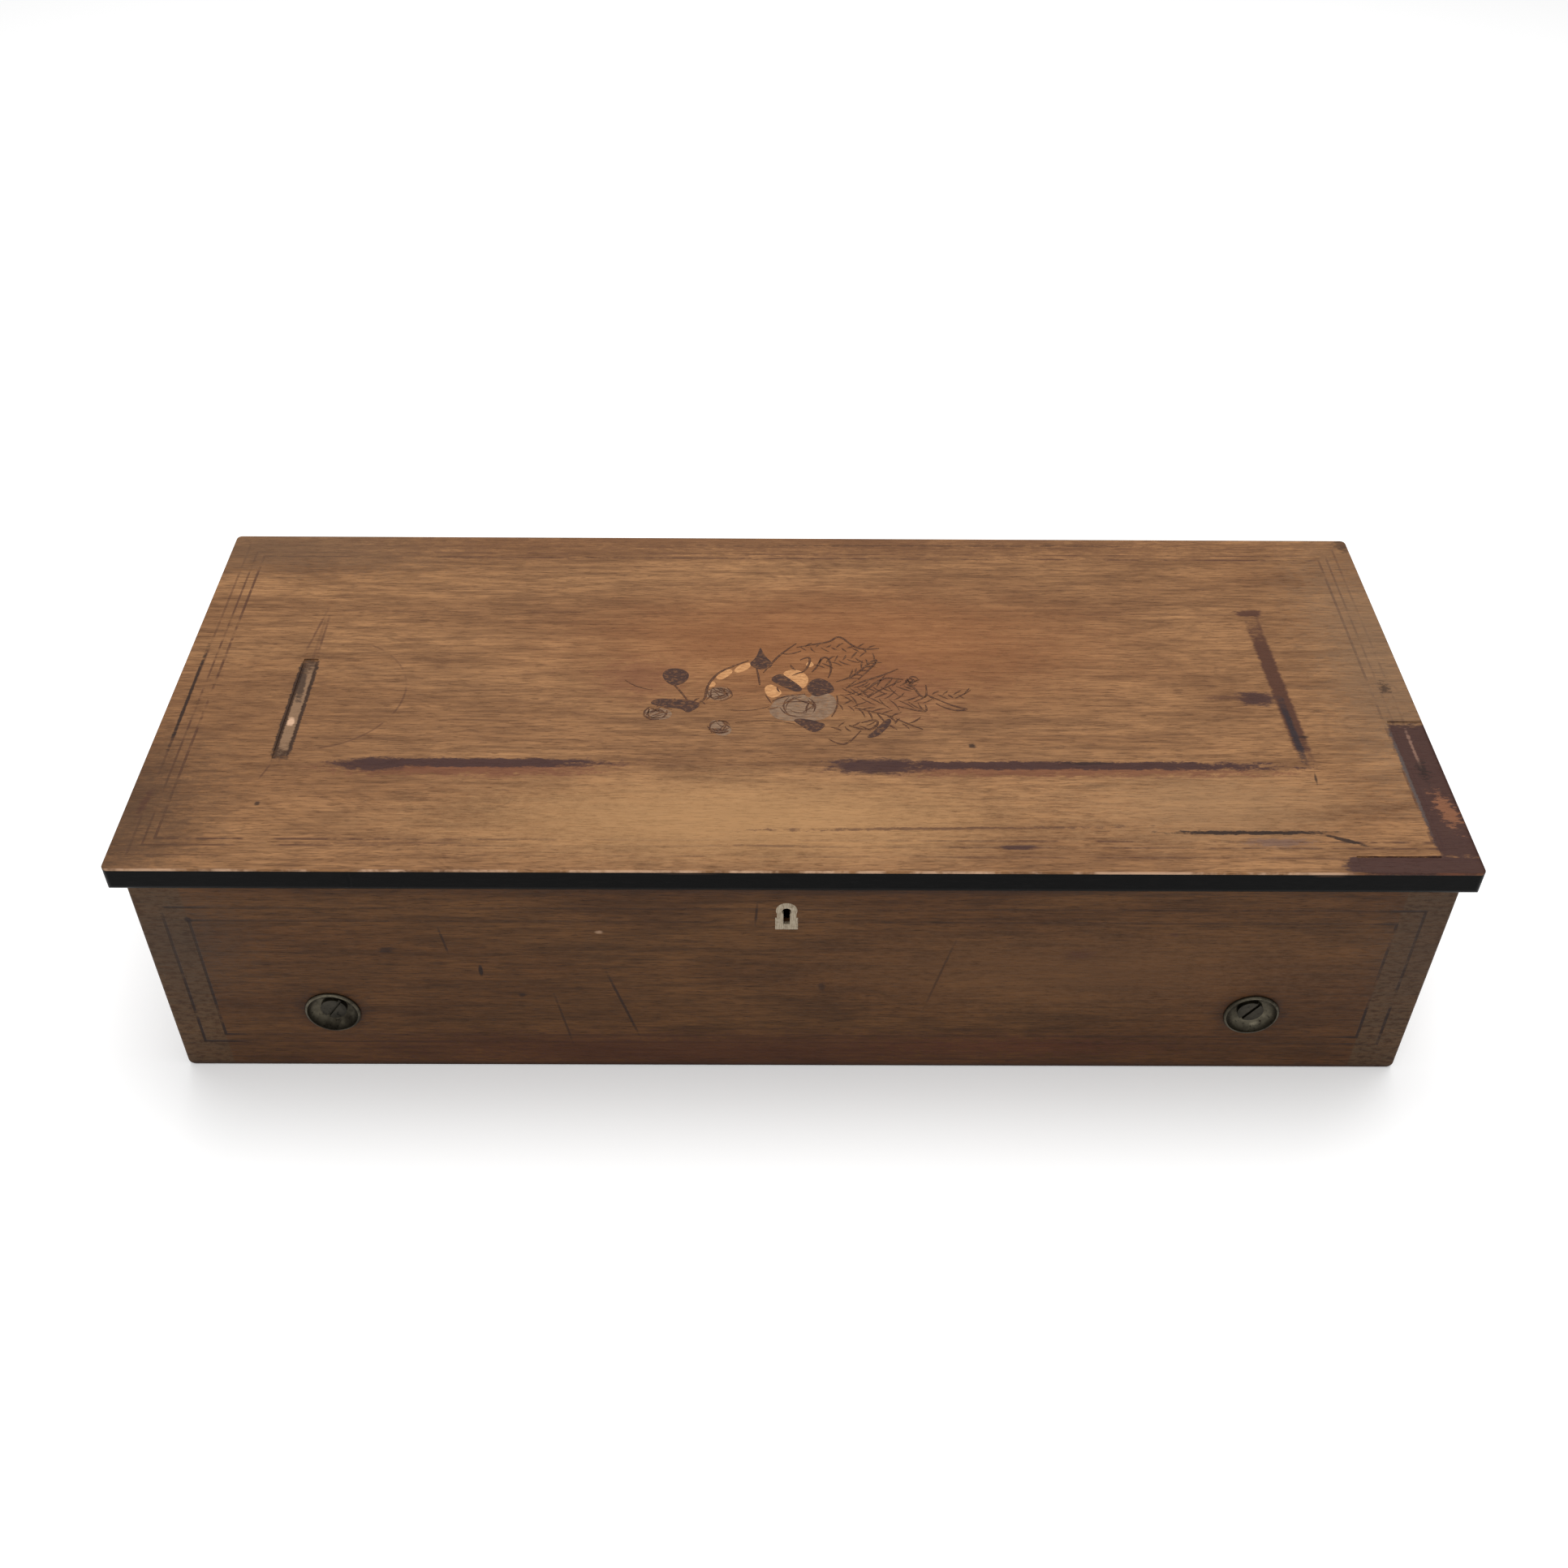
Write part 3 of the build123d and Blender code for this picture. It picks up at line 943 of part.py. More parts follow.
def build_cylinder():
    """The pinned cylinder on its arbor, with the wheel, pinion, snail and star."""
    turn_to_first = math.radians(FIRST_ANGLE)
    y = CYLINDER_Y
    z = AXIS_Z
    wheel = gear(GREAT_TEETH, GREAT_WHEEL_X, WHEEL_THICKNESS, y, z, ARBOR_RADIUS, 2, turn_to_first, spokes=5)
    arbor_end = GREAT_WHEEL_X + WHEEL_THICKNESS + 1
    arbor = rod_x(ARBOR_RADIUS, CYLINDER_PINION_X - 1, arbor_end, y, z)
    arbor += gear(CYLINDER_PINION_TEETH, CYLINDER_PINION_X, PINION_LENGTH, y, z, 0)
    collar_x = MIDDLE_BRIDGE_X + BRIDGE_THICKNESS + 0.5
    arbor += rod_x(COLLAR_RADIUS, collar_x, collar_x + COLLAR_THICKNESS, y, z)
    pin_end = CYLINDER_X + CAP_THICKNESS + 1
    arbor += rod_x(DRIVE_PIN_RADIUS, collar_x, pin_end, y, z + DRIVE_PIN_REACH)
    shell = rod_x(CYLINDER_RADIUS, CYLINDER_X, CYLINDER_END, y, z)
    shell -= rod_x(CYLINDER_RADIUS - CYLINDER_WALL, CYLINDER_X, CYLINDER_END, y, z)
    caps = []
    for x0 in (CYLINDER_X, CYLINDER_END - CAP_THICKNESS):
        cap = rod_x(CYLINDER_RADIUS - CYLINDER_WALL, x0, x0 + CAP_THICKNESS, y, z)
        caps.append(cap - rod_x(ARBOR_RADIUS + PIVOT_CLEARANCE, x0, x0 + CAP_THICKNESS, y, z))
    hole = DRIVE_PIN_RADIUS + PIVOT_CLEARANCE
    caps[0] -= rod_x(hole, CYLINDER_X, CYLINDER_X + CAP_THICKNESS, y, z + DRIVE_PIN_REACH)
    follower_y = y - FOLLOWER_REACH
    caps[1] += rod_x(FOLLOWER_RADIUS, CYLINDER_END - CAP_THICKNESS, SNAIL_X - FOLLOWER_GAP, follower_y, z)
    pins = []
    pitch = (COMB_RIGHT - COMB_LEFT) / COMB_TEETH
    for step in range(CYLINDER_PINS):
        tooth = (step * 23) % COMB_TEETH
        tune = (step * 5) % TUNES
        x = COMB_LEFT + (tooth + 0.5) * pitch + (tune - TUNES / 2) * TUNE_STEP
        pin = slab(-PIN_WIDTH / 2, PIN_WIDTH / 2, -PIN_WIDTH / 2, PIN_WIDTH / 2, 0, PIN_HEIGHT)
        turn = FIRST_PIN_ANGLE + step * PIN_SPAN / CYLINDER_PINS
        pins.append(Pos(x, y, z) * Rot(turn, 0, 0) * Pos(0, 0, CYLINDER_RADIUS) * pin)
    nodes = {"great_wheel": wheel, "cylinder_arbor": arbor, "cylinder": shell, "cylinder_caps": caps}
    nodes["cylinder_pins"] = pins
    nodes["tune_snail"] = tune_snail()
    return nodes


def tune_snail():
    """The stepped cam that shifts the cylinder from tune to tune, riveted to its star wheel."""
    sector = 360 / TUNES
    snail = rod_x(SNAIL_HUB, SNAIL_X, STAR_X + STAR_THICKNESS, 0, 0)
    for tune in range(TUNES):
        high = 180 + SNAIL_LEAD - sector * tune
        depth = STAR_X - SNAIL_X + tune * TUNE_STEP
        piece = Cylinder(SNAIL_RADIUS, depth, arc_size=sector, align=(Align.NONE, Align.NONE, Align.CENTER))
        piece = Rot(0, 90, 0) * Rot(0, 0, 90) * piece
        snail += Pos(STAR_X - depth / 2, 0, 0) * Rot(high - sector, 0, 0) * piece
    star = []
    for point in range(2 * TUNES):
        angle = math.radians(STAR_TURN + sector / 2 * point)
        radius = STAR_RADIUS if point % 2 else STAR_RADIUS * 0.62
        star.append((radius * math.cos(angle), radius * math.sin(angle)))
    snail += plate_x(star, STAR_X, STAR_THICKNESS)
    bore = rod_x(ARBOR_RADIUS + PIVOT_CLEARANCE, SNAIL_X - TUNES * TUNE_STEP, STAR_X + STAR_THICKNESS, 0, 0)
    return Pos(0, CYLINDER_Y, AXIS_Z) * (snail - bore)


def governor_screws():
    """The screws through the feet of the governor's plates and the levers' bracket."""
    spots = []
    for y in (GOVERNOR_FRONT_Y + BRIDGE_FOOT / 3, GOVERNOR_BACK_Y - BRIDGE_FOOT / 3):
        spots.append((BACK_PLATE_X - GOVERNOR_FOOT / 2, y))
    for y in (CHANGE_Y, STOP_Y):
        spots.append((SHAFT_BRACKET_X + GOVERNOR_PLATE + GOVERNOR_FOOT / 2, y))
    return [foot_screw(x, y) for x, y in spots]


def cock_screws():
    screws = []
    for x in (FRONT_PLATE_X + GOVERNOR_PLATE / 2, BACK_PLATE_X + GOVERNOR_PLATE / 2):
        for y in (COCK_Y0 + 3, COCK_Y1 - 3):
            seat = Pos(x, y, COCK_Z + COCK_THICKNESS)
            screws.append(screw(seat, GOVERNOR_PLATE * 0.6, GOVERNOR_PLATE / 4, COCK_THICKNESS + 4, 1.0))
    return screws


def governor_plate(x0):
    """One of the two upright plates that carry the governor's arbors."""
    outline = [
        (GOVERNOR_FRONT_Y, BED_TOP),
        (GOVERNOR_BACK_Y, BED_TOP),
        (COCK_Y1, BED_TOP + 2 * FOOT_THICKNESS),
        (COCK_Y1, COCK_Z),
        (COCK_Y0, COCK_Z),
        (SECOND_Y, SECOND_Z + BRIDGE_HEAD),
        (FIRST_Y - BRIDGE_HEAD / 2, FIRST_Z + BRIDGE_HEAD),
        (GOVERNOR_FRONT_Y, BED_TOP + 2 * FOOT_THICKNESS),
    ]
    plate = plate_x(outline, x0, GOVERNOR_PLATE)
    for y, z in ((FIRST_Y, FIRST_Z), (SECOND_Y, SECOND_Z)):
        plate -= rod_x(GOVERNOR_ARBOR + PIVOT_CLEARANCE, x0, x0 + GOVERNOR_PLATE, y, z)
    return plate


def governor_arbor(x0, y, z):
    """An arbor from x0 that turns in the governor's plates."""
    return rod_x(GOVERNOR_ARBOR, x0, BACK_PLATE_X + GOVERNOR_PLATE - 0.5, y, z)


def endless_screw():
    """The worm and its two-vaned fly on one upright arbor."""
    pitch = math.pi * MODULE
    half = (pitch / 2 - WORM_SLACK) / 2
    tip = WORM_RADIUS + 0.75 * MODULE
    root = WORM_RADIUS - 1.0 * MODULE
    slope = math.tan(math.radians(20))
    inner = half + slope * (WORM_RADIUS - root)
    outer = half - slope * (tip - WORM_RADIUS)
    start = -WORM_LENGTH / 2
    turns = math.floor(WORM_LENGTH / pitch)
    begin = -turns * pitch / 2
    corners = [(root - 0.4, begin - inner), (tip, begin - outer), (tip, begin + outer), (root - 0.4, begin + inner)]
    face = Plane.XZ * make_face(Polyline(*corners, close=True))
    path = Pos(0, 0, begin) * Helix(pitch, turns * pitch, WORM_RADIUS)
    thread = sweep(face, path, is_frenet=True)
    worm = rod_z(root, 0, 0, start, -start) + thread
    worm = Pos(WORM_X, WORM_Y, SECOND_Z) * Rot(0, 0, WORM_TURN) * worm
    foot = POTENCE_Z + POTENCE_THICKNESS * 0.3
    worm += rod_z(WORM_ARBOR, WORM_X, WORM_Y, foot, COCK_Z + COCK_THICKNESS * 0.8)
    worm += rod_z(2 * WORM_ARBOR, WORM_X, WORM_Y, FLY_Z, FLY_Z + FLY_HEIGHT)
    half_fly = FLY_WIDTH / 2
    vane = (WORM_Y - FLY_THICKNESS / 2, WORM_Y + FLY_THICKNESS / 2, FLY_Z, FLY_Z + FLY_HEIGHT)
    return worm + slab(WORM_X - half_fly, WORM_X + half_fly, *vane)


def build_governor():
    """The plates, arbors, wheels, endless screw and fly that hold the speed down."""
    front = governor_plate(FRONT_PLATE_X)
    back = governor_plate(BACK_PLATE_X)
    back += slab(
        BACK_PLATE_X - GOVERNOR_FOOT, BACK_PLATE_X, GOVERNOR_FRONT_Y, GOVERNOR_BACK_Y, BED_TOP,
        BED_TOP + FOOT_THICKNESS,
    )
    shelf = (COCK_Y0, COCK_Y1, POTENCE_Z, POTENCE_Z + POTENCE_THICKNESS)
    back += slab(FRONT_PLATE_X + GOVERNOR_PLATE, BACK_PLATE_X, *shelf)
    hole = WORM_ARBOR + PIVOT_CLEARANCE
    back -= rod_z(hole, WORM_X, WORM_Y, POTENCE_Z + POTENCE_THICKNESS * 0.2, POTENCE_Z + POTENCE_THICKNESS)
    cock = slab(FRONT_PLATE_X, BACK_PLATE_X + GOVERNOR_PLATE, COCK_Y0, COCK_Y1, COCK_Z, COCK_Z + COCK_THICKNESS)
    cock = fillet(cock.edges().filter_by(Axis.Z), 2)
    cock -= rod_z(hole, WORM_X, WORM_Y, COCK_Z, COCK_Z + COCK_THICKNESS)
    setting = rod_z(ENDSTONE_RADIUS, WORM_X, WORM_Y, COCK_Z + COCK_THICKNESS, COCK_Z + COCK_THICKNESS + 1)
    top_screws = cock_screws()
    feet = governor_screws()
    nodes = {
        "governor_front_plate": bored(front, top_screws),
        "governor_back_plate": bored(back, top_screws + feet[:2]),
        "governor_cock": bored(cock + setting, top_screws),
        "control_bracket": bored(control_bracket(), feet[2:]),
    }
    first_turn = math.radians(FIRST_ANGLE + 180) + math.pi / FIRST_PINION_TEETH
    first = governor_arbor(GREAT_WHEEL_X, FIRST_Y, FIRST_Z)
    first += gear(FIRST_PINION_TEETH, GREAT_WHEEL_X, PINION_LENGTH, FIRST_Y, FIRST_Z, 0, turn=first_turn)
    second_turn = math.radians(SECOND_ANGLE)
    first += gear(
        FIRST_TEETH, FIRST_WHEEL_X, WHEEL_THICKNESS, FIRST_Y, FIRST_Z, 0, turn=second_turn, spokes=4, hub=4.0,
    )
    meshing = math.radians(SECOND_ANGLE + 180) + math.pi / SECOND_PINION_TEETH
    second = governor_arbor(FRONT_PLATE_X + 0.5, SECOND_Y, SECOND_Z)
    second += gear(
        SECOND_PINION_TEETH, FIRST_WHEEL_X - 1.5, PINION_LENGTH, SECOND_Y, SECOND_Z, 0, turn=meshing,
    )
    worm_wheel = tooth_outline(WORM_WHEEL_TEETH, WORM_SLACK, 2)
    second += plate_x(worm_wheel, WORM_WHEEL_X, WHEEL_THICKNESS, SECOND_Y, SECOND_Z)
    nodes["first_governor_wheel"] = first
    nodes["second_governor_wheel"] = second
    nodes["endless_screw"] = endless_screw()
    return nodes


def control_bracket():
    """The plate that carries the inner ends of the two control levers' shafts."""
    x0 = SHAFT_BRACKET_X
    ear = 2.5 * CONTROL_SHAFT_RADIUS
    outline = [
        (CHANGE_Y - ear, BED_TOP),
        (STOP_Y + ear, BED_TOP),
        (STOP_Y + ear, STOP_Z + ear),
        (STOP_Y - ear, STOP_Z + ear),
        (CHANGE_Y + ear, CHANGE_Z + ear),
        (CHANGE_Y - ear, CHANGE_Z + ear),
    ]
    plate = plate_x(outline, x0, GOVERNOR_PLATE)
    window = [
        (CHANGE_Y + ear, BED_TOP + 2 * ear),
        (STOP_Y - ear, BED_TOP + 2 * ear),
        (STOP_Y - ear, STOP_Z - ear),
        (CHANGE_Y + ear, CHANGE_Z - 2 * ear),
    ]
    plate -= plate_x(window, x0, GOVERNOR_PLATE)
    foot = (CHANGE_Y - ear, STOP_Y + ear, BED_TOP, BED_TOP + FOOT_THICKNESS)
    plate += slab(x0 + GOVERNOR_PLATE, x0 + GOVERNOR_PLATE + GOVERNOR_FOOT, *foot)
    for y, z in ((STOP_Y, STOP_Z), (CHANGE_Y, CHANGE_Z)):
        plate -= rod_x(CONTROL_SHAFT_RADIUS + PIVOT_CLEARANCE, x0, x0 + GOVERNOR_PLATE, y, z)
    return plate


def control_lever(y, z, rise, shaft_start):
    """A lever in the right-hand room, on a shaft that goes through the partition."""
    x0 = CONTROL_X
    x1 = CONTROL_X + CONTROL_THICKNESS
    width = 1.5 * CONTROL_SHAFT_RADIUS
    arm = rod_x(2 * CONTROL_SHAFT_RADIUS, x0, x1, 0, 0) + slab(x0, x1, -CONTROL_ARM, 0, -width / 2, width / 2)
    place = Pos(0, y, z) * Rot(-rise, 0, 0)
    lever = place * arm
    tip_y = y - CONTROL_ARM * math.cos(math.radians(rise))
    tip_z = z + CONTROL_ARM * math.sin(math.radians(rise))
    middle = (x0 + x1) / 2
    knob_outline = (
        Line((0, 0), (KNOB_RADIUS * 0.5, 0))
        + ThreePointArc(
            (KNOB_RADIUS * 0.5, 0), (KNOB_RADIUS * 0.55, KNOB_HEIGHT * 0.4), (KNOB_RADIUS, KNOB_HEIGHT * 0.75)
        )
        + ThreePointArc(
            (KNOB_RADIUS, KNOB_HEIGHT * 0.75), (KNOB_RADIUS * 0.85, KNOB_HEIGHT * 0.95), (KNOB_RADIUS * 0.4, KNOB_HEIGHT)
        )
        + Line((KNOB_RADIUS * 0.4, KNOB_HEIGHT), (0, KNOB_HEIGHT))
        + Line((0, KNOB_HEIGHT), (0, 0))
    )
    lever += Pos(middle, tip_y, tip_z) * revolve(Plane.XZ * make_face(knob_outline), Axis.Z)
    return lever + rod_x(CONTROL_SHAFT_RADIUS, shaft_start, x1 + 1, y, z)


def build_levers():
    """The stop lever, whose toe catches the fly, and the change lever, whose finger moves the star."""
    half = CONTROL_THICKNESS / 2
    stop = control_lever(STOP_Y, STOP_Z, STOP_RISE, WORM_X - half)
    toe_z = FLY_Z + FLY_HEIGHT - 1
    stop += slab(WORM_X - half, WORM_X + half, STOP_Y - 1, STOP_Y + 1, STOP_Z, toe_z)
    toe_y = WORM_Y + FLY_WIDTH / 2 + TOE_GAP
    stop += slab(WORM_X - half, WORM_X + half, toe_y, STOP_Y + 1, toe_z - 2, toe_z)
    finger_x = STAR_X + FINGER_SPARE
    change = control_lever(CHANGE_Y, CHANGE_Z, CHANGE_RISE, finger_x)
    reach = math.hypot(CHANGE_Y - CYLINDER_Y, CHANGE_Z - AXIS_Z)
    length = reach - STAR_RADIUS * STAR_ENTRY
    finger = slab(finger_x, STAR_X + STAR_THICKNESS, -length, 0, -FINGER / 2, FINGER / 2)
    change += Pos(0, CHANGE_Y, CHANGE_Z) * Rot(STAR_TURN - FINGER_STOP - CHANGE_TURN, 0, 0) * finger
    return {"stop_lever": stop, "change_lever": change}


def build():
    nodes = build_case()
    nodes.update(build_lid())
    nodes.update(build_glass_lid())
    nodes["lock_bolt"] = lock_bolt()
    nodes.update(build_bed())
    nodes.update(build_barrel())
    nodes.update(build_winding())
    nodes.update(build_cylinder())
    nodes.update(build_governor())
    nodes.update(build_levers())
    return nodes


os.makedirs("parts", exist_ok=True)
for name, pieces in build().items():
    if isinstance(pieces, list):
        pieces = Compound(children=[solid for piece in pieces for solid in piece.solids()])
    export_step(pieces, "parts/" + name + ".step")
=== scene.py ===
"""Looks of the music box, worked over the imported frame: woods, marquetry, metals, glass and paper."""
import math
import random

import bmesh
import bpy
from mathutils import Matrix, Vector

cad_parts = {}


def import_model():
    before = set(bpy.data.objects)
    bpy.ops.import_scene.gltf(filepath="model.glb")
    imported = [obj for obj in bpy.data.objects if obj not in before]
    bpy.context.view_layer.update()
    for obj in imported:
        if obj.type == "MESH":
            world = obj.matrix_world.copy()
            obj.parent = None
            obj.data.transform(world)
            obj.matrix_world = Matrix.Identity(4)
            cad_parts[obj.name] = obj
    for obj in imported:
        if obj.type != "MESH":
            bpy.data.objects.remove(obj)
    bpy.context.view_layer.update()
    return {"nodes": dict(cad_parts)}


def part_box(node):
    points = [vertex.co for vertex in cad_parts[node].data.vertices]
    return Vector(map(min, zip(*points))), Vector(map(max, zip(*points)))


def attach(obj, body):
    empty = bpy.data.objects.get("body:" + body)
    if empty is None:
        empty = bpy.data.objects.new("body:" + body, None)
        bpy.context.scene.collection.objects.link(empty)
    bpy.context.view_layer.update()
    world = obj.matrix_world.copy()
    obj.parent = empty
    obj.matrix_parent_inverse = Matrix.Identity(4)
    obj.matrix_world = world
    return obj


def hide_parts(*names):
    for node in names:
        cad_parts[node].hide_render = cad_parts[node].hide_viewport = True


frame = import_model()

MM = 0.001
LID_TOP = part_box("lid_board")[1].z
LID_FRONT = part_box("lid_board")[0].y
LID_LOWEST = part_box("lid_board")[0].z
CASE_REACH = {
    "X": -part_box("left_end_board")[0].x / MM,
    "Y": -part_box("front_board")[0].y / MM,
}


def tone(red, green, blue):
    """A colour from its screen values of 0 to 255."""
    channels = []
    for value in (red, green, blue):
        share = value / 255
        channels.append(share / 12.92 if share <= 0.04045 else ((share + 0.055) / 1.055) ** 2.4)
    return (*channels, 1.0)


class Bench:
    """Lays out the nodes of one material or group."""

    def __init__(self, tree):
        self.tree = tree

    def feed(self, socket, value):
        """Another node's socket is linked in, and a plain value is set."""
        if isinstance(value, bpy.types.NodeSocket):
            self.tree.links.new(value, socket)
        else:
            socket.default_value = value

    def add(self, kind, inputs=None, **settings):
        """A shader node with its settings and inputs."""
        made = self.tree.nodes.new("ShaderNode" + kind)
        for name, value in settings.items():
            setattr(made, name, value)
        for name, value in (inputs or {}).items():
            self.feed(made.inputs[name], value)
        return made

    def math(self, operation, *values, clamp=False):
        """One step of arithmetic."""
        made = self.add("Math", operation=operation, use_clamp=clamp)
        for index, value in enumerate(values):
            self.feed(made.inputs[index], value)
        return made.outputs[0]

    def vector(self, operation, *values):
        """One step of arithmetic on vectors."""
        made = self.add("VectorMath", operation=operation)
        for index, value in enumerate(values):
            self.feed(made.inputs[index], value)
        return made.outputs["Vector"]

    def mix(self, share, first, second, blend="MIX"):
        """Two colours mixed by a share of the second."""
        made = self.add("Mix", data_type="RGBA", blend_type=blend)
        self.feed(made.inputs[0], share)
        self.feed(made.inputs[6], first)
        self.feed(made.inputs[7], second)
        return made.outputs[2]

    def spread(self, value, low, high, to_low=0.0, to_high=1.0):
        """A value stretched from one range to another, smoothly, and held at its ends."""
        made = self.add("MapRange", interpolation_type="SMOOTHSTEP")
        for index, number in enumerate((value, low, high, to_low, to_high)):
            self.feed(made.inputs[index], number)
        return made.outputs[0]

    def noise(self, place, sizes, detail=3.0, rough=0.5, bend=0.0):
        """Cloudy noise, with features about one over sizes long on each axis, in millimetres."""
        scaled = self.vector("MULTIPLY", place, sizes)
        inputs = {"Vector": scaled, "Scale": 1.0, "Detail": detail, "Roughness": rough, "Distortion": bend}
        return self.add("TexNoise", inputs).outputs["Fac"]

    def place(self):
        """Where a point is on the object, in millimetres."""
        return self.vector("MULTIPLY", self.add("TexCoord").outputs["Object"], (1000.0,) * 3)

    def axes(self, place):
        """The three numbers of a place."""
        return self.add("SeparateXYZ", {"Vector": place}).outputs

    def flat(self, across, up):
        """A place on a flat face, from its two numbers."""
        return self.add("CombineXYZ", {"X": across, "Y": up}).outputs[0]

    def group(self, name, inputs):
        """A shared effect, placed with its own values."""
        made = self.tree.nodes.new("ShaderNodeGroup")
        made.node_tree = bpy.data.node_groups[name]
        for label, value in inputs.items():
            self.feed(made.inputs[label], value)
        return made.outputs


def effect(name, inputs, outputs):
    """An empty shared effect with named inputs and outputs, and the bench that fills it."""
    tree = bpy.data.node_groups.new(name, "ShaderNodeTree")
    for label, (kind, value) in inputs.items():
        socket = tree.interface.new_socket(label, in_out="INPUT", socket_type="NodeSocket" + kind)
        socket.default_value = value
    for label, kind in outputs.items():
        tree.interface.new_socket(label, in_out="OUTPUT", socket_type="NodeSocket" + kind)
    return Bench(tree), tree.nodes.new("NodeGroupInput").outputs, tree.nodes.new("NodeGroupOutput").inputs


GREY = (0.5, 0.5, 0.5, 1.0)
ORIGIN = (0.0, 0.0, 0.0)


def wood_grain():
    """Grain that runs along X: broad tone, wandering growth lines, fibres and open pores."""
    bench, given, out = effect(
        "wood_grain",
        {
            "Place": ("Vector", ORIGIN),
            "Light": ("Color", GREY),
            "Middle": ("Color", GREY),
            "Dark": ("Color", GREY),
            "Figure": ("Float", 1.0),
            "Shift": ("Vector", ORIGIN),
        },
        {"Colour": "Color", "Height": "Float", "Tone": "Float"},
    )
    place = bench.vector("ADD", given["Place"], given["Shift"])
    broad = bench.spread(bench.noise(place, (0.007, 0.03, 0.03), 3.0, 0.5, 0.6), 0.3, 0.7)
    mottle = bench.spread(bench.noise(place, (0.03, 0.07, 0.07), 4.0, 0.6, 0.4), 0.36, 0.68)
    streak = bench.spread(bench.noise(place, (0.02, 0.3, 0.3), 4.0, 0.65, 0.3), 0.42, 0.66)
    fibre = bench.spread(bench.noise(place, (0.07, 0.9, 0.9), 4.0, 0.7), 0.4, 0.66)
    pore = bench.spread(bench.noise(place, (0.16, 2.2, 2.2), 2.0, 0.5), 0.58, 0.68)
    wander = bench.noise(place, (0.008, 0.035, 0.035), 2.0, 0.4, 0.8)
    rings = bench.math("SINE", bench.math("MULTIPLY", wander, 95.0))
    rings = bench.math("MULTIPLY", bench.spread(rings, 0.1, 1.0), given["Figure"])
    colour = bench.mix(broad, given["Light"], given["Middle"])
    for share, strength in ((mottle, 0.28), (streak, 0.4), (rings, 0.14), (fibre, 0.42), (pore, 0.5)):
        colour = bench.mix(bench.math("MULTIPLY", share, strength), colour, given["Dark"])
    height = bench.math("SUBTRACT", bench.math("MULTIPLY", fibre, 0.35), pore)
    for label, socket in {"Colour": colour, "Height": height, "Tone": broad}.items():
        bench.feed(out[label], socket)


def worn_patch():
    """A blot, bar or scratch on a flat face, from round (2) to square (8), with frayed edges."""
    bench, given, out = effect(
        "worn_patch",
        {
            "Place": ("Vector", ORIGIN),
            "Centre": ("Vector", ORIGIN),
            "Half": ("Vector", (1.0, 1.0, 1.0)),
            "Turn": ("Float", 0.0),
            "Squareness": ("Float", 2.0),
            "Grit": ("Float", 0.5),
            "Fray": ("Float", 0.3),
            "Softness": ("Float", 0.2),
        },
        {"Mask": "Float"},
    )
    turned = bench.add("VectorRotate", {
        "Vector": bench.vector("SUBTRACT", given["Place"], given["Centre"]),
        "Angle": bench.math("MULTIPLY", given["Turn"], -1.0),
    }, rotation_type="Z_AXIS").outputs[0]
    reach = bench.axes(bench.vector("ABSOLUTE", bench.vector("DIVIDE", turned, given["Half"])))
    square = given["Squareness"]
    total = bench.math("ADD", *(bench.math("POWER", reach[axis], square) for axis in "XY"))
    far = bench.math("POWER", total, bench.math("DIVIDE", 1.0, square))
    torn = bench.math("MULTIPLY", bench.math("SUBTRACT", given["Grit"], 0.5), given["Fray"])
    far = bench.math("ADD", far, bench.math("MULTIPLY", torn, 4.0))
    inner = bench.math("SUBTRACT", 1.0, given["Softness"])
    bench.feed(out["Mask"], bench.spread(far, inner, 1.0, 1.0, 0.0))


def string_line():
    """The thin line let into a veneer as a rectangle."""
    bench, given, out = effect(
        "string_line",
        {
            "Place": ("Vector", ORIGIN),
            "Centre": ("Vector", ORIGIN),
            "Half": ("Vector", (1.0, 1.0, 1.0)),
            "Width": ("Float", 0.8),
        },
        {"Mask": "Float", "Inside": "Float"},
    )
    near = bench.vector("ABSOLUTE", bench.vector("SUBTRACT", given["Place"], given["Centre"]))
    sides = bench.axes(bench.vector("SUBTRACT", near, given["Half"]))
    outside = bench.math("MAXIMUM", sides["X"], sides["Y"])
    edge = bench.math("MULTIPLY", given["Width"], 0.5)
    bench.feed(out["Mask"], bench.spread(bench.math("ABSOLUTE", outside), edge,
                                         bench.math("ADD", edge, 0.3), 1.0, 0.0))
    bench.feed(out["Inside"], bench.spread(outside, -0.2, 0.2, 1.0, 0.0))


def ring_line():
    """A thin round mark on a flat face, such as a cup leaves."""
    bench, given, out = effect(
        "ring_line",
        {
            "Place": ("Vector", ORIGIN),
            "Centre": ("Vector", ORIGIN),
            "Radius": ("Float", 5.0),
            "Width": ("Float", 0.5),
        },
        {"Mask": "Float"},
    )
    ends = {0: given["Place"], 1: given["Centre"]}
    apart = bench.add("VectorMath", ends, operation="DISTANCE").outputs["Value"]
    off = bench.math("ABSOLUTE", bench.math("SUBTRACT", apart, given["Radius"]))
    edge = bench.math("MULTIPLY", given["Width"], 0.5)
    bench.feed(out["Mask"], bench.spread(off, edge, bench.math("ADD", edge, 0.4), 1.0, 0.0))


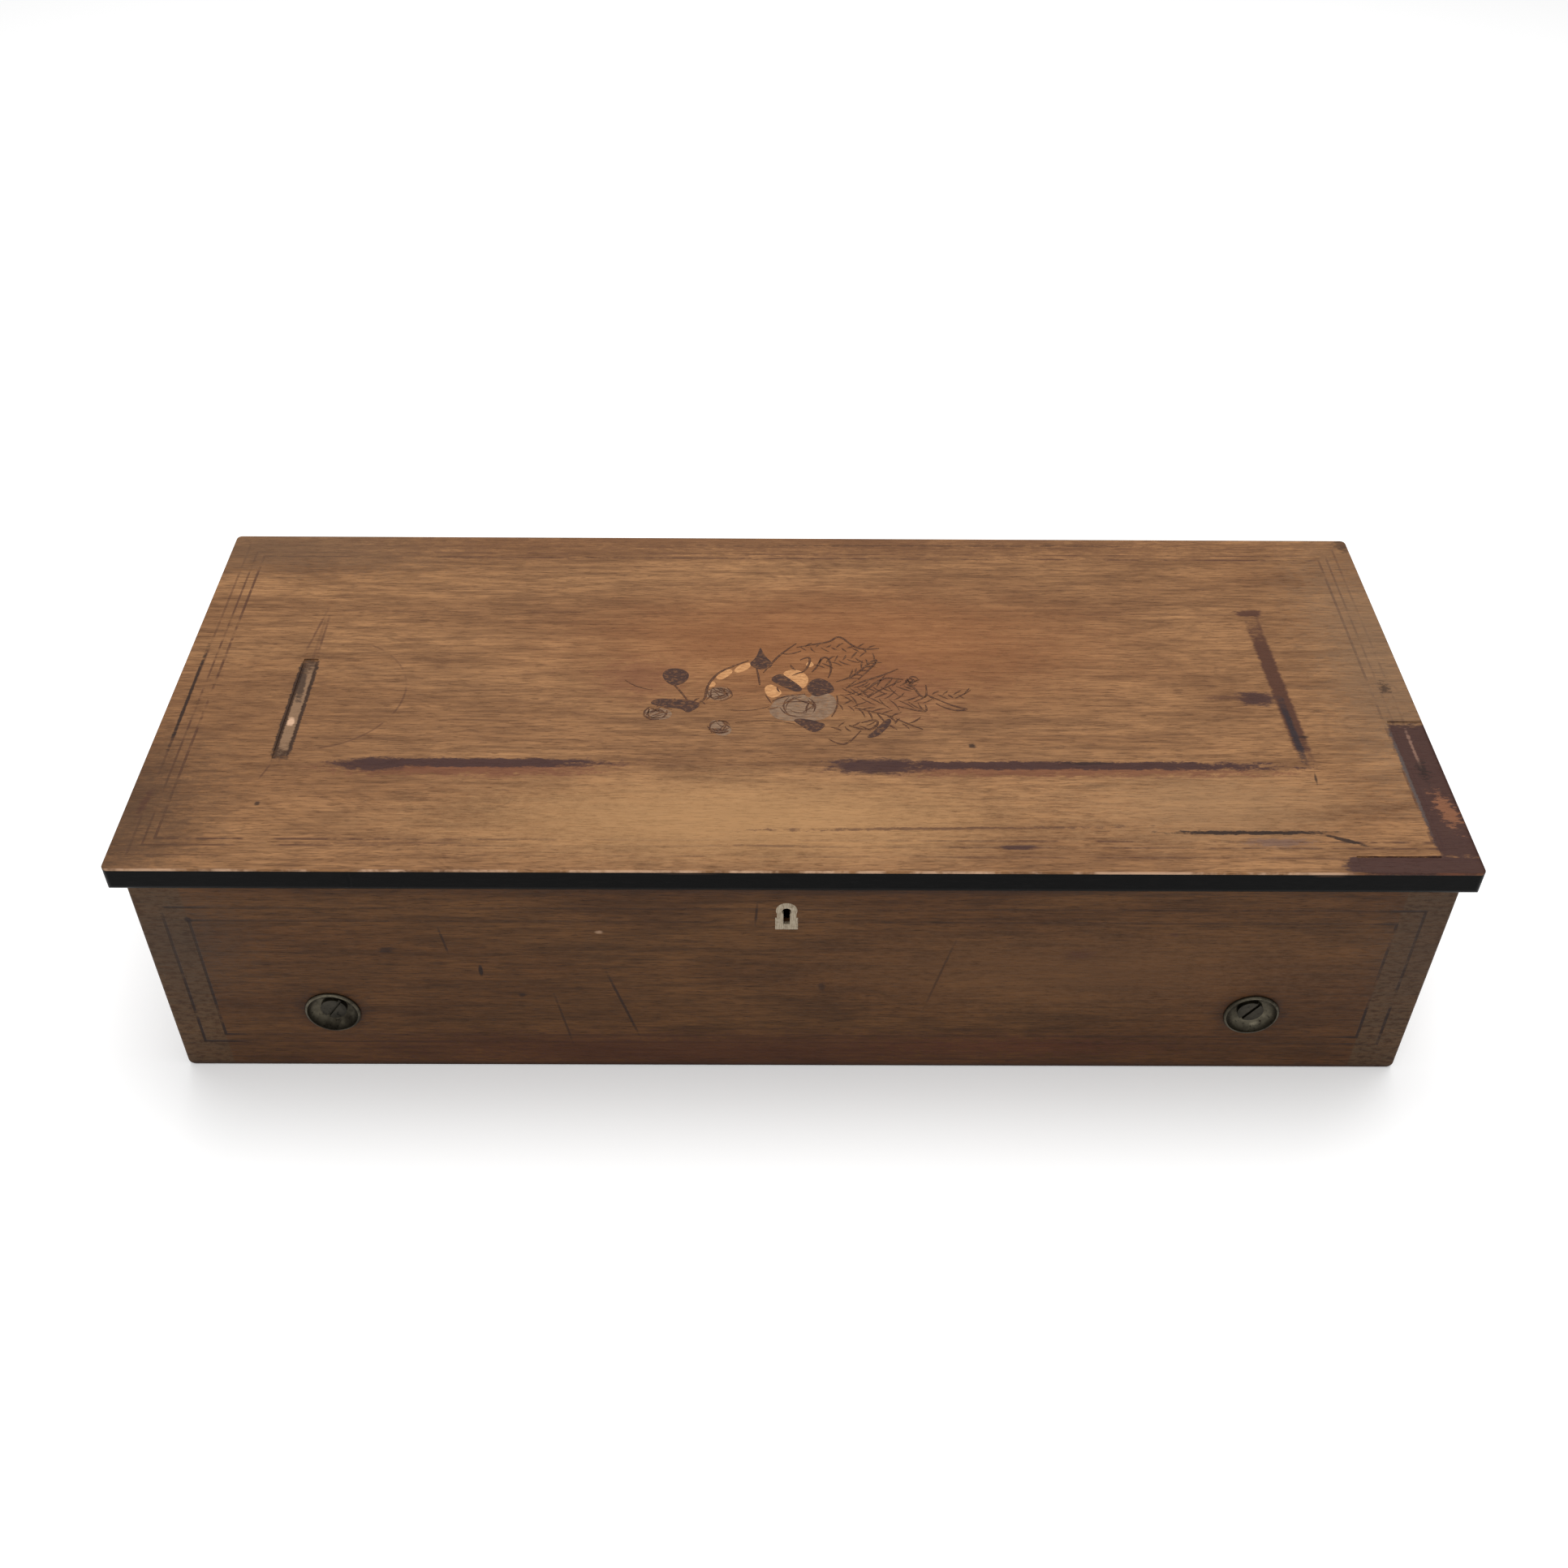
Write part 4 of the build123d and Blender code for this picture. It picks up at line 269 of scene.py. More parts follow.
def worked_metal():
    """Metal with a brushed or turned finish, clouded by age and spotted with tarnish."""
    bench, given, out = effect(
        "worked_metal",
        {
            "Place": ("Vector", ORIGIN),
            "Bright": ("Color", GREY),
            "Dull": ("Color", GREY),
            "Brush": ("Vector", (0.05, 3.0, 3.0)),
            "Age": ("Float", 0.5),
            "Smooth": ("Float", 0.25),
            "Rough": ("Float", 0.5),
        },
        {"Colour": "Color", "Roughness": "Float", "Height": "Float"},
    )
    place = given["Place"]
    cloud = bench.spread(bench.noise(place, (0.05, 0.05, 0.05), 5.0, 0.6, 0.4), 0.35, 0.68)
    spots = bench.spread(bench.noise(place, (0.7, 0.7, 0.7), 3.0, 0.6), 0.58, 0.72)
    brush = bench.noise(bench.vector("MULTIPLY", place, given["Brush"]), (1.0, 1.0, 1.0), 3.0, 0.6)
    age = bench.math("MULTIPLY", bench.math("ADD", cloud, bench.math("MULTIPLY", spots, 0.6)), given["Age"],
                     clamp=True)
    colour = bench.mix(age, given["Bright"], given["Dull"])
    colour = bench.mix(bench.math("MULTIPLY", bench.spread(brush, 0.4, 0.7), 0.25), colour, given["Dull"])
    bench.feed(out["Colour"], colour)
    bench.feed(out["Roughness"], bench.spread(bench.math("ADD", age, bench.math("MULTIPLY", brush, 0.3)),
                                              0.0, 1.2, given["Smooth"], given["Rough"]))
    bench.feed(out["Height"], bench.math("SUBTRACT", bench.math("MULTIPLY", brush, 0.4),
                                         bench.math("MULTIPLY", spots, 0.6)))


def start(name):
    """A new material, and the bench that fills it."""
    material = bpy.data.materials.new(name)
    material.use_nodes = True
    return material, Bench(material.node_tree)


def close(bench, colour, roughness, height=None, relief=0.05, plain=None):
    """The surface itself. Relief is how far its bumps reach, in millimetres."""
    shader = bench.tree.nodes["Principled BSDF"]
    bench.feed(shader.inputs["Base Color"], colour)
    bench.feed(shader.inputs["Roughness"], roughness)
    if plain is None:
        plain = {"Specular IOR Level": 0.12}
    if height is not None:
        bump = bench.add("Bump", {"Height": height, "Strength": 1.0, "Distance": relief * MM})
        bench.feed(shader.inputs["Normal"], bump.outputs["Normal"])
    for label, value in plain.items():
        shader.inputs[label].default_value = value


def marked(bench, place, grit, colour, height, marks):
    """Stains, scratches and painted shade laid over a colour.

    Each mark is its colour and strength, centre, half size, turn in degrees, squareness, fray,
    softness, and depth as a share of the relief. A mark's place hangs on the mark before it, by
    far less than shows, so that the renderer works them out in turn and never runs out of room.
    """
    here = place
    for shade, strength, centre, half, turn, square, fray, soft, depth in marks:
        mask = bench.group("worn_patch", {
            "Place": here,
            "Centre": (*centre, 0.0),
            "Half": (*half, 1.0),
            "Turn": math.radians(turn),
            "Squareness": square,
            "Grit": grit,
            "Fray": fray,
            "Softness": soft,
        })["Mask"]
        here = bench.vector("MULTIPLY_ADD", mask, (0.0001,) * 3, place)
        colour = bench.mix(bench.math("MULTIPLY", mask, strength), colour, shade)
        if depth:
            height = bench.math("SUBTRACT", height, bench.math("MULTIPLY", mask, depth))
    return colour, height


SOOT_AND_SHADE = tone(40, 28, 24)
UMBER = tone(76, 48, 36)
RUST = tone(108, 66, 46)
SCORCH = tone(64, 42, 38)
GROUND = tone(138, 108, 82)
CHIP_AND_HIGHLIGHT = tone(206, 168, 138)

# Each mark is laid out as marked says.
LID_MARKS = [
    (tone(132, 82, 47), 0.6, (20, 25), (175, 62), 0, 2, 0.2, 0.9, 0),
    (tone(170, 129, 86), 0.7, (-25, -86), (170, 36), 0, 2, 0.2, 0.9, 0),
    (tone(154, 118, 82), 0.5, (165, -78), (80, 34), 0, 2, 0.3, 0.9, 0),
    (tone(116, 92, 70), 0.6, (262, 20), (48, 130), 0, 3, 0.3, 0.9, 0),
    (tone(76, 54, 38), 0.85, (-274, -84), (62, 70), 0, 2.5, 0.3, 0.9, 0),
    (tone(100, 76, 56), 0.65, (-240, 100), (120, 30), 0, 2.5, 0.3, 0.9, 0),
    (tone(104, 70, 46), 0.7, (0, 110), (290, 24), 0, 4, 0.6, 0.9, 0),
    (SOOT_AND_SHADE, 0.4, (60, 104), (120, 1.0), 0.3, 3, 0.8, 0.8, 0.2),
    (RUST, 0.5, (-66, 2), (26, 20), 0, 2, 0.4, 0.9, 0),
    (RUST, 0.4, (46, -6), (32, 30), 0, 2, 0.5, 0.9, 0),
    (RUST, 0.8, (-130, -56), (68, 6.0), 0, 4, 0.5, 0.6, 0),
    (SCORCH, 0.97, (-131, -53), (64, 3.4), 0, 3, 0.3, 0.4, 0.3),
    (SCORCH, 0.95, (-172, -54), (20, 5.2), 0, 2, 0.3, 0.5, 0.3),
    (RUST, 0.5, (-121, -61), (12, 3.0), 4, 2, 0.6, 0.8, 0),
    (RUST, 0.8, (112, -56), (102, 5.6), 0, 5, 0.5, 0.6, 0),
    (SCORCH, 0.97, (112, -53.6), (100, 3.0), 0, 5, 0.4, 0.4, 0.3),
    (SCORCH, 0.95, (34, -54.4), (25, 6.2), 0, 2.5, 0.3, 0.5, 0.2),
    (SOOT_AND_SHADE, 0.6, (120, -52), (14, 1.4), 0, 2, 0.5, 0.7, 0.3),
    (UMBER, 0.97, (208.8, -3), (4.2, 55), 2, 7, 0.2, 0.4, 0.5),
    (tone(42, 36, 40), 0.85, (208.8, -30), (2.0, 26), 2, 5, 0.3, 0.6, 0.4),
    (UMBER, 0.95, (206.9, 51), (8.0, 3.0), 0, 3, 0.5, 0.5, 0.2),
    (SCORCH, 0.95, (198, -10), (10, 5.6), 0, 3, 0.35, 0.5, 0.1),
    (UMBER, 0.7, (185, -9.4), (13, 2.4), 0, 2, 0.4, 0.8, 0),
    (SOOT_AND_SHADE, 0.8, (213, -35), (3.2, 1.2), 0, 2, 0.4, 0.7, 0.2),
    (SOOT_AND_SHADE, 0.8, (211.6, -61), (0.7, 5), -4, 2, 0.3, 0.7, 0.3),
    (SOOT_AND_SHADE, 0.85, (-210.5, -18), (4.4, 34.5), 0, 8, 0.14, 0.14, 0),
    (GROUND, 0.85, (-210.4, -18), (2.5, 32), 0, 8, 0.2, 0.3, 0),
    (SOOT_AND_SHADE, 0.75, (-211.4, -2), (2.0, 14), 4, 3, 0.5, 0.5, 0),
    (CHIP_AND_HIGHLIGHT, 0.9, (-210.9, -27), (1.8, 3.6), 0, 3, 0.3, 0.5, 0),
    (UMBER, 0.6, (-212.3, 35), (0.8, 21), -7, 4, 0.5, 0.8, 0.2),
    (UMBER, 0.6, (-208.6, 33), (0.8, 18), 0, 4, 0.5, 0.8, 0.2),
    (UMBER, 0.6, (-214.6, -59), (0.7, 7), -17, 2, 0.3, 0.8, 0.2),
    (SCORCH, 0.96, (258.5, -66), (10, 42.5), 0, 9, 0.07, 0.1, 0),
    (SCORCH, 0.96, (241, -110.4), (31, 5.2), 0, 5, 0.1, 0.12, 0),
    (tone(84, 74, 70), 0.8, (249.6, -62), (1.2, 36), 0, 4, 0.4, 0.6, 0),
    (tone(136, 104, 88), 0.7, (256.6, -42), (0.9, 15), 0, 3, 0.6, 0.7, 0),
    (tone(128, 84, 58), 0.85, (260, -79), (4.6, 12), 8, 2, 0.9, 0.6, 0),
    (SOOT_AND_SHADE, 0.8, (257, -56), (3, 8), 0, 2, 0.9, 0.7, 0),
    (SOOT_AND_SHADE, 0.95, (178, -92.8), (36, 1.3), 0, 4, 0.5, 0.5, 0.6),
    (SOOT_AND_SHADE, 0.9, (214, -96.4), (11, 1.2), -22, 3, 0.4, 0.5, 0.5),
    (UMBER, 0.7, (60, -91), (82, 1.1), 1, 3, 0.7, 0.6, 0.2),
    (tone(108, 82, 70), 0.75, (188, -98.4), (15, 3.0), 0, 4, 0.5, 0.6, 0),
    (SCORCH, 0.9, (86.8, -101.6), (9, 1.5), 0, 4, 0.3, 0.5, 0.4),
    (UMBER, 0.55, (-157, -100.2), (48, 0.7), 0.3, 4, 0.6, 0.7, 0.2),
    (UMBER, 0.55, (-10, -101), (26, 0.8), -1, 3, 0.8, 0.7, 0.2),
    (UMBER, 0.7, (-258, -78), (2.2, 10), -5, 2, 0.6, 0.8, 0),
    (SOOT_AND_SHADE, 0.9, (-257.4, -11), (0.9, 39), 0.4, 5, 0.3, 0.5, 0.6),
    (SOOT_AND_SHADE, 0.6, (263, 107), (5, 9), 0, 2, 0.6, 0.8, 0),
    (SOOT_AND_SHADE, 0.7, (254.7, -2), (3, 5), 8, 2, 0.9, 0.7, 0.2),
    (SOOT_AND_SHADE, 0.85, (73.7, -41.4), (2.2, 2.0), 0, 2, 0.4, 0.6, 0.4),
    (SOOT_AND_SHADE, 0.8, (-213.4, -78.2), (1.6, 1.6), 0, 2, 0.3, 0.6, 0.4),
]

# Centre, radius and width of each round mark.
LID_RINGS = [((-203, -8), 37, 0.5), ((-118, -74), 5.0, 0.4), ((254.5, -4), 5.5, 0.6)]

# Half length and half depth, middle, width and strength of each string line.
LID_STRINGS = [
    ((257, 104.5), -2.5, 0.7, 0.5),
    ((252.5, 99), -2.5, 0.6, 0.7),
    ((248.5, 95.5), -2.5, 0.8, 0.8),
    ((210, 52), -2, 0.9, 0.3),
]

# How far in from the case's ends its string lines stand, their middle and half height.
CASE_END_GAP = 10.5
CASE_STRINGS = [(0.0, 57.0, 41.0), (9.7, 55.6, 35.0)]

FRONT_MARKS = [
    (tone(104, 72, 46), 0.5, (120, 62), (150, 34), 0, 2, 0.3, 0.9, 0),
    (tone(64, 50, 40), 0.5, (-246, 80), (40, 50), 0, 2, 0.3, 0.9, 0),
    (tone(66, 50, 40), 0.45, (252, 80), (30, 50), 0, 2, 0.3, 0.9, 0),
    (tone(70, 38, 26), 0.65, (-40, 10), (230, 18), 0, 3, 0.5, 0.9, 0),
    (tone(84, 44, 30), 0.4, (100, 14), (90, 8), 0, 2, 0.6, 0.9, 0),
    # Painted shade along the top of the front, under the lid's moulding.
    (SOOT_AND_SHADE, 0.55, (0, 110), (262, 6), 0, 6, 0.2, 0.9, 0),
    (SOOT_AND_SHADE, 0.75, (-192, 36.5), (19, 16), 0, 2, 0.3, 0.6, 0),
    (SOOT_AND_SHADE, 0.7, (192, 36.5), (19, 15), 0, 2, 0.3, 0.6, 0),
    (SOOT_AND_SHADE, 0.95, (-127.5, 61.4), (1.2, 4.2), 0, 2, 0.1, 0.5, 0.8),
    (SOOT_AND_SHADE, 0.8, (-70.4, 40), (0.8, 26), 16, 3, 0.3, 0.6, 0.6),
    (SOOT_AND_SHADE, 0.7, (-140.6, 79), (0.7, 9), 9, 3, 0.3, 0.6, 0.5),
    (SOOT_AND_SHADE, 0.6, (-96, 31), (0.7, 19), 10, 3, 0.4, 0.6, 0.4),
    (SOOT_AND_SHADE, 0.8, (-112, 46.2), (2.2, 1.5), 0, 2, 0.4, 0.6, 0.5),
    (SOOT_AND_SHADE, 0.7, (-164, 73.7), (4, 2.2), 0, 2, 0.8, 0.7, 0.2),
    (CHIP_AND_HIGHLIGHT, 0.4, (-77.8, 84.5), (2.2, 1.2), 0, 2, 0.4, 0.7, 0.2),
    (SOOT_AND_SHADE, 0.9, (-240, 90.9), (2.0, 2.2), 0, 2, 0.2, 0.6, 0.4),
    (SOOT_AND_SHADE, 0.75, (-15, 95), (0.8, 8), -4, 2, 0.2, 0.7, 0.5),
    (SOOT_AND_SHADE, 0.6, (12, 52), (2, 4), 10, 2, 0.5, 0.7, 0.3),
    (SOOT_AND_SHADE, 0.5, (60, 60), (0.7, 24), -14, 3, 0.5, 0.6, 0.3),
    (UMBER, 0.6, (116, 72), (9, 4), 0, 2, 0.5, 0.8, 0),
    (UMBER, 0.7, (152, 84), (2.6, 1.6), 0, 2, 0.5, 0.8, 0),
]


def lid_veneer():
    """Walnut veneer of the lid, with its string lines, stains and losses."""
    material, bench = start("lid_veneer")
    place = bench.place()
    grain = bench.group("wood_grain", {
        "Place": place,
        "Light": tone(160, 117, 78),
        "Middle": tone(138, 98, 64),
        "Dark": tone(74, 47, 30),
        "Figure": 1.0,
    })
    axes = bench.axes(place)
    face = bench.flat(axes["X"], axes["Y"])
    grit = bench.noise(place, (0.25, 0.6, 0.6), 4.0, 0.7)
    colour, height = grain["Colour"], grain["Height"]
    worn = bench.spread(bench.noise(place, (0.05, 0.05, 0.05), 4.0, 0.7), 0.4, 0.56)
    for half, middle, width, strength in LID_STRINGS:
        line = bench.group("string_line", {
            "Place": face,
            "Centre": (0.0, middle, 0.0),
            "Half": (*half, 1.0),
            "Width": width,
        })["Mask"]
        line = bench.math("MULTIPLY", line, bench.math("MULTIPLY", worn, strength))
        colour = bench.mix(line, colour, UMBER)
        height = bench.math("SUBTRACT", height, line)
    for centre, radius, width in LID_RINGS:
        ring = bench.group("ring_line", {
            "Place": face,
            "Centre": (*centre, 0.0),
            "Radius": radius,
            "Width": width,
        })["Mask"]
        side = bench.spread(axes["X"], centre[0] - 0.3 * radius, centre[0] + 0.3 * radius, 0.1, 0.5)
        ring = bench.math("MULTIPLY", ring, bench.math("MULTIPLY", worn, side))
        colour = bench.mix(ring, colour, UMBER)
    colour, height = marked(bench, face, grit, colour, height, LID_MARKS)
    under = bench.spread(axes["Z"], LID_LOWEST / MM + 0.2, LID_LOWEST / MM + 0.5, 1.0, 0.0)
    colour = bench.mix(under, colour, bench.mix(0.68, grain["Colour"], tone(70, 34, 20)))
    # The lid's front edge is paler, and rust coloured by the burnt corner: partly worn veneer, partly a
    # painted highlight where light catches the edge.
    rim = bench.spread(axes["Y"], LID_FRONT / MM + 0.05, LID_FRONT / MM + 0.6, 0.75, 0.0)
    burnt = bench.spread(axes["X"], 206.0, 218.0)
    edge = bench.mix(burnt, CHIP_AND_HIGHLIGHT, RUST)
    colour = bench.mix(bench.math("MULTIPLY", rim, worn), colour, edge)
    close(bench, colour, bench.spread(grit, 0.3, 0.7, 0.45, 0.65), height, 0.09)
    return material


def case_veneer(name, along):
    """Darker walnut of the case's boards, string lined, with the grain along X or Y."""
    material, bench = start(name)
    place = bench.place()
    axes = bench.axes(place)
    if along == "Y":
        place = bench.add("CombineXYZ", {"X": axes["Y"], "Y": axes["X"], "Z": axes["Z"]}).outputs[0]
    grain = bench.group("wood_grain", {
        "Place": place,
        "Light": tone(104, 70, 41),
        "Middle": tone(90, 58, 33),
        "Dark": tone(40, 25, 16),
        "Figure": 0.6,
        "Shift": (310.0, 170.0, 90.0),
    })
    face = bench.flat(axes[along], axes["Z"])
    grit = bench.noise(place, (0.25, 0.6, 0.6), 4.0, 0.7)
    worn = bench.spread(bench.noise(place, (0.05, 0.05, 0.05), 4.0, 0.7), 0.36, 0.52)
    colour, height = grain["Colour"], grain["Height"]
    half_length = CASE_REACH[along] - CASE_END_GAP
    aside = bench.math("ABSOLUTE", axes[along])
    upright = bench.spread(aside, half_length - 22, half_length - 10, 0.4, 0.95)
    band = bench.spread(aside, half_length - 10, half_length - 9, 0.0, 0.5)
    banding = bench.mix(bench.spread(grit, 0.45, 0.62), tone(86, 69, 50), tone(50, 38, 30))
    colour = bench.mix(band, colour, banding)
    for inset, middle, half_height in CASE_STRINGS:
        line = bench.group("string_line", {
            "Place": face,
            "Centre": (0.0, middle, 0.0),
            "Half": (half_length - inset, half_height, 1.0),
            "Width": 0.9,
        })
        mask = bench.math("MULTIPLY", line["Mask"], bench.math("MULTIPLY", worn, upright))
        colour = bench.mix(mask, colour, SOOT_AND_SHADE)
        height = bench.math("SUBTRACT", height, mask)
    if name == "front_veneer":
        colour, height = marked(bench, face, grit, colour, height, FRONT_MARKS)
    across = "Y" if along == "X" else "X"
    outer = CASE_REACH[across]
    skin = bench.spread(bench.math("ABSOLUTE", axes[across]), outer - 0.8, outer - 0.5)
    colour = bench.mix(skin, grain["Colour"], colour)
    # Painted shade: each board is darker towards its bottom, where it meets the floor.
    painted_floor_shade = bench.spread(axes["Z"], 0.4, 4.0, 0.8, 0.0)
    colour = bench.mix(painted_floor_shade, colour, SOOT_AND_SHADE)
    close(bench, colour, bench.spread(grit, 0.3, 0.7, 0.45, 0.65), height, 0.08)
    return material


def plain_wood(name, light, middle, dark, gloss=0.5):
    """Solid wood without inlay, stained and waxed."""
    material, bench = start(name)
    place = bench.place()
    grain = bench.group("wood_grain", {
        "Place": place,
        "Light": light,
        "Middle": middle,
        "Dark": dark,
        "Figure": 0.5,
        "Shift": (90.0, 410.0, 30.0),
    })
    grit = bench.noise(place, (0.3, 0.3, 0.3), 4.0, 0.7)
    roughness = bench.spread(grit, 0.3, 0.7, gloss - 0.1, gloss + 0.1)
    close(bench, grain["Colour"], roughness, grain["Height"], 0.07)
    return material


def ebonised_wood():
    """Black polished moulding, rubbed grey, with one open joint at the front."""
    material, bench = start("ebonised_wood")
    place = bench.place()
    axes = bench.axes(place)
    face = bench.flat(axes["X"], axes["Z"])
    grit = bench.noise(place, (0.12, 0.8, 0.8), 5.0, 0.7)
    rubbed = bench.spread(grit, 0.42, 0.75)
    colour = bench.mix(rubbed, tone(4, 4, 4), tone(15, 14, 14))
    marks = [
        (tone(4, 4, 4), 1.0, (-171, 118), (0.7, 6), 0, 4, 0.1, 0.3, 1.0),
        (tone(70, 52, 40), 0.6, (205, 122.5), (8, 0.5), 0, 3, 0.4, 0.6, 0.3),
        (tone(60, 46, 38), 0.5, (-40, 122.6), (14, 0.4), 0, 3, 0.5, 0.6, 0.2),
    ]
    colour, height = marked(bench, face, grit, colour, bench.math("MULTIPLY", grit, 0.4), marks)
    roughness = bench.spread(grit, 0.3, 0.7, 0.26, 0.46)
    close(bench, colour, roughness, height, 0.05, {"Specular IOR Level": 0.05})
    return material


def metal(name, bright, dull, age, smooth, rough, brush=(0.05, 3.0, 3.0), relief=0.01):
    """Worked metal of one colour."""
    material, bench = start(name)
    look = bench.group("worked_metal", {
        "Place": bench.place(),
        "Bright": bright,
        "Dull": dull,
        "Age": age,
        "Smooth": smooth,
        "Rough": rough,
        "Brush": brush,
    })
    close(bench, look["Colour"], look["Roughness"], look["Height"], relief, {"Metallic": 1.0})
    return material


def cast_iron():
    """Cast bedplate under bronze paint, with a sandy skin."""
    material, bench = start("cast_iron")
    place = bench.place()
    sand = bench.noise(place, (1.2, 1.2, 1.2), 4.0, 0.7)
    cloud = bench.spread(bench.noise(place, (0.03, 0.03, 0.03), 5.0, 0.6), 0.35, 0.65)
    colour = bench.mix(cloud, tone(128, 106, 62), tone(88, 70, 42))
    colour = bench.mix(bench.spread(sand, 0.56, 0.7), colour, tone(52, 42, 30))
    close(bench, colour, bench.spread(sand, 0.3, 0.7, 0.42, 0.62), sand, 0.15, {"Metallic": 0.35})
    return material


def bone():
    """Old bone, greyed and darkened here and there."""
    material, bench = start("bone")
    place = bench.place()
    fibre = bench.spread(bench.noise(place, (2.2, 2.2, 0.3), 4.0, 0.6), 0.35, 0.65)
    dirt = bench.spread(bench.noise(place, (0.4, 0.4, 0.4), 4.0, 0.7), 0.5, 0.68)
    colour = bench.mix(fibre, tone(176, 163, 142), tone(142, 127, 106))
    colour = bench.mix(bench.math("MULTIPLY", dirt, 0.6), colour, tone(92, 74, 54))
    close(bench, colour, bench.spread(fibre, 0.0, 1.0, 0.4, 0.55), fibre, 0.03)
    return material


def pane_glass():
    """Old glass, faintly green, with a film of dust."""
    material, bench = start("pane_glass")
    place = bench.place()
    film = bench.spread(bench.noise(place, (0.02, 0.02, 0.02), 5.0, 0.7), 0.4, 0.7)
    ripple = bench.noise(place, (0.012, 0.02, 0.02), 1.0, 0.4)
    colour = bench.mix(film, tone(250, 253, 250), tone(236, 243, 238))
    close(bench, colour, bench.spread(film, 0.0, 1.0, 0.0, 0.06), ripple, 0.25,
          {"Transmission Weight": 1.0, "IOR": 1.5})
    return material


def tune_paper():
    """Printed card for the tunes: a double border, ruled lines and foxing, and no words."""
    material, bench = start("tune_paper")
    place = bench.place()
    axes = bench.axes(place)
    face = bench.flat(axes["X"], axes["Y"])
    foxed = bench.spread(bench.noise(place, (0.05, 0.05, 0.05), 5.0, 0.65), 0.45, 0.7)
    colour = bench.mix(foxed, tone(222, 205, 168), tone(178, 146, 98))
    ink = tone(72, 48, 40)
    for half, width, shade in (((90, 55), 1.6, ink), ((86.5, 51.5), 0.5, ink), ((78, 26), 0.5, ink)):
        line = bench.group("string_line", {
            "Place": face,
            "Centre": (0.0, -8.0 if half[1] < 30 else 0.0, 0.0),
            "Half": (*half, 1.0),
            "Width": width,
        })
        colour = bench.mix(bench.math("MULTIPLY", line["Mask"], 0.85), colour, shade)
    rule = bench.math("ABSOLUTE", bench.math("SINE", bench.math("MULTIPLY", axes["Y"], math.pi / 6.5)))
    ruled = bench.math("MULTIPLY", bench.spread(rule, 0.08, 0.16, 1.0, 0.0), line["Inside"])
    colour = bench.mix(bench.math("MULTIPLY", ruled, 0.6), colour, ink)
    waves = bench.math("SINE", bench.math("MULTIPLY", bench.math("MULTIPLY", axes["X"], axes["Y"]), 0.01))
    scroll = bench.group("worn_patch", {
        "Place": face, "Centre": (0.0, 36.0, 0.0), "Half": (60.0, 9.0, 1.0), "Squareness": 2.0,
        "Fray": 0.0, "Softness": 0.15,
    })["Mask"]
    lattice = bench.math("MULTIPLY", bench.spread(waves, 0.2, 0.5), scroll)
    colour = bench.mix(bench.math("MULTIPLY", lattice, 0.35), colour, tone(120, 60, 44))
    fibre = bench.noise(place, (1.5, 1.5, 1.5), 3.0, 0.6)
    close(bench, colour, bench.spread(fibre, 0.0, 1.0, 0.75, 0.9), fibre, 0.02)
    return material


def inlay(name, light, dark):
    """One coloured veneer of the marquetry, rubbed back to the walnut here and there."""
    material, bench = start(name)
    place = bench.place()
    fibre = bench.spread(bench.noise(place, (0.3, 1.6, 1.6), 4.0, 0.6), 0.35, 0.65)
    colour = bench.mix(fibre, light, dark)
    rubbed = bench.spread(bench.noise(place, (0.5, 0.9, 0.9), 3.0, 0.6), 0.52, 0.62)
    colour = bench.mix(bench.math("MULTIPLY", rubbed, 0.4), colour, tone(134, 92, 56))
    close(bench, colour, bench.spread(fibre, 0.0, 1.0, 0.42, 0.6), fibre, 0.03)
    return material


def dress(names, material):
    """Gives CAD nodes their material."""
    for name in names:
        node = frame["nodes"][name]
        if not node.material_slots:
            node.data.materials.append(material)
        for place in node.material_slots:
            place.material = material


def piece(name, mesh_bench, material, body, replaced=()):
    """A finished piece from its bmesh, riding on a body."""
    mesh = bpy.data.meshes.new(name)
    mesh_bench.to_mesh(mesh)
    mesh_bench.free()
    made = bpy.data.objects.new(name, mesh)
    bpy.context.scene.collection.objects.link(made)
    mesh.materials.append(material)
    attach(made, body)
    if replaced:
        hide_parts(*replaced)
    return made


# How deep the lost veneer lay, and the west, east, south and north of each loss in millimetres.
LOSS_DEPTH = 0.55 * MM
LOSSES = [
    (-213.6, -207.4, -51, 15),
    (250, 265, -105.6, -24.6),
    (217, 265, -115, -105.6),
]


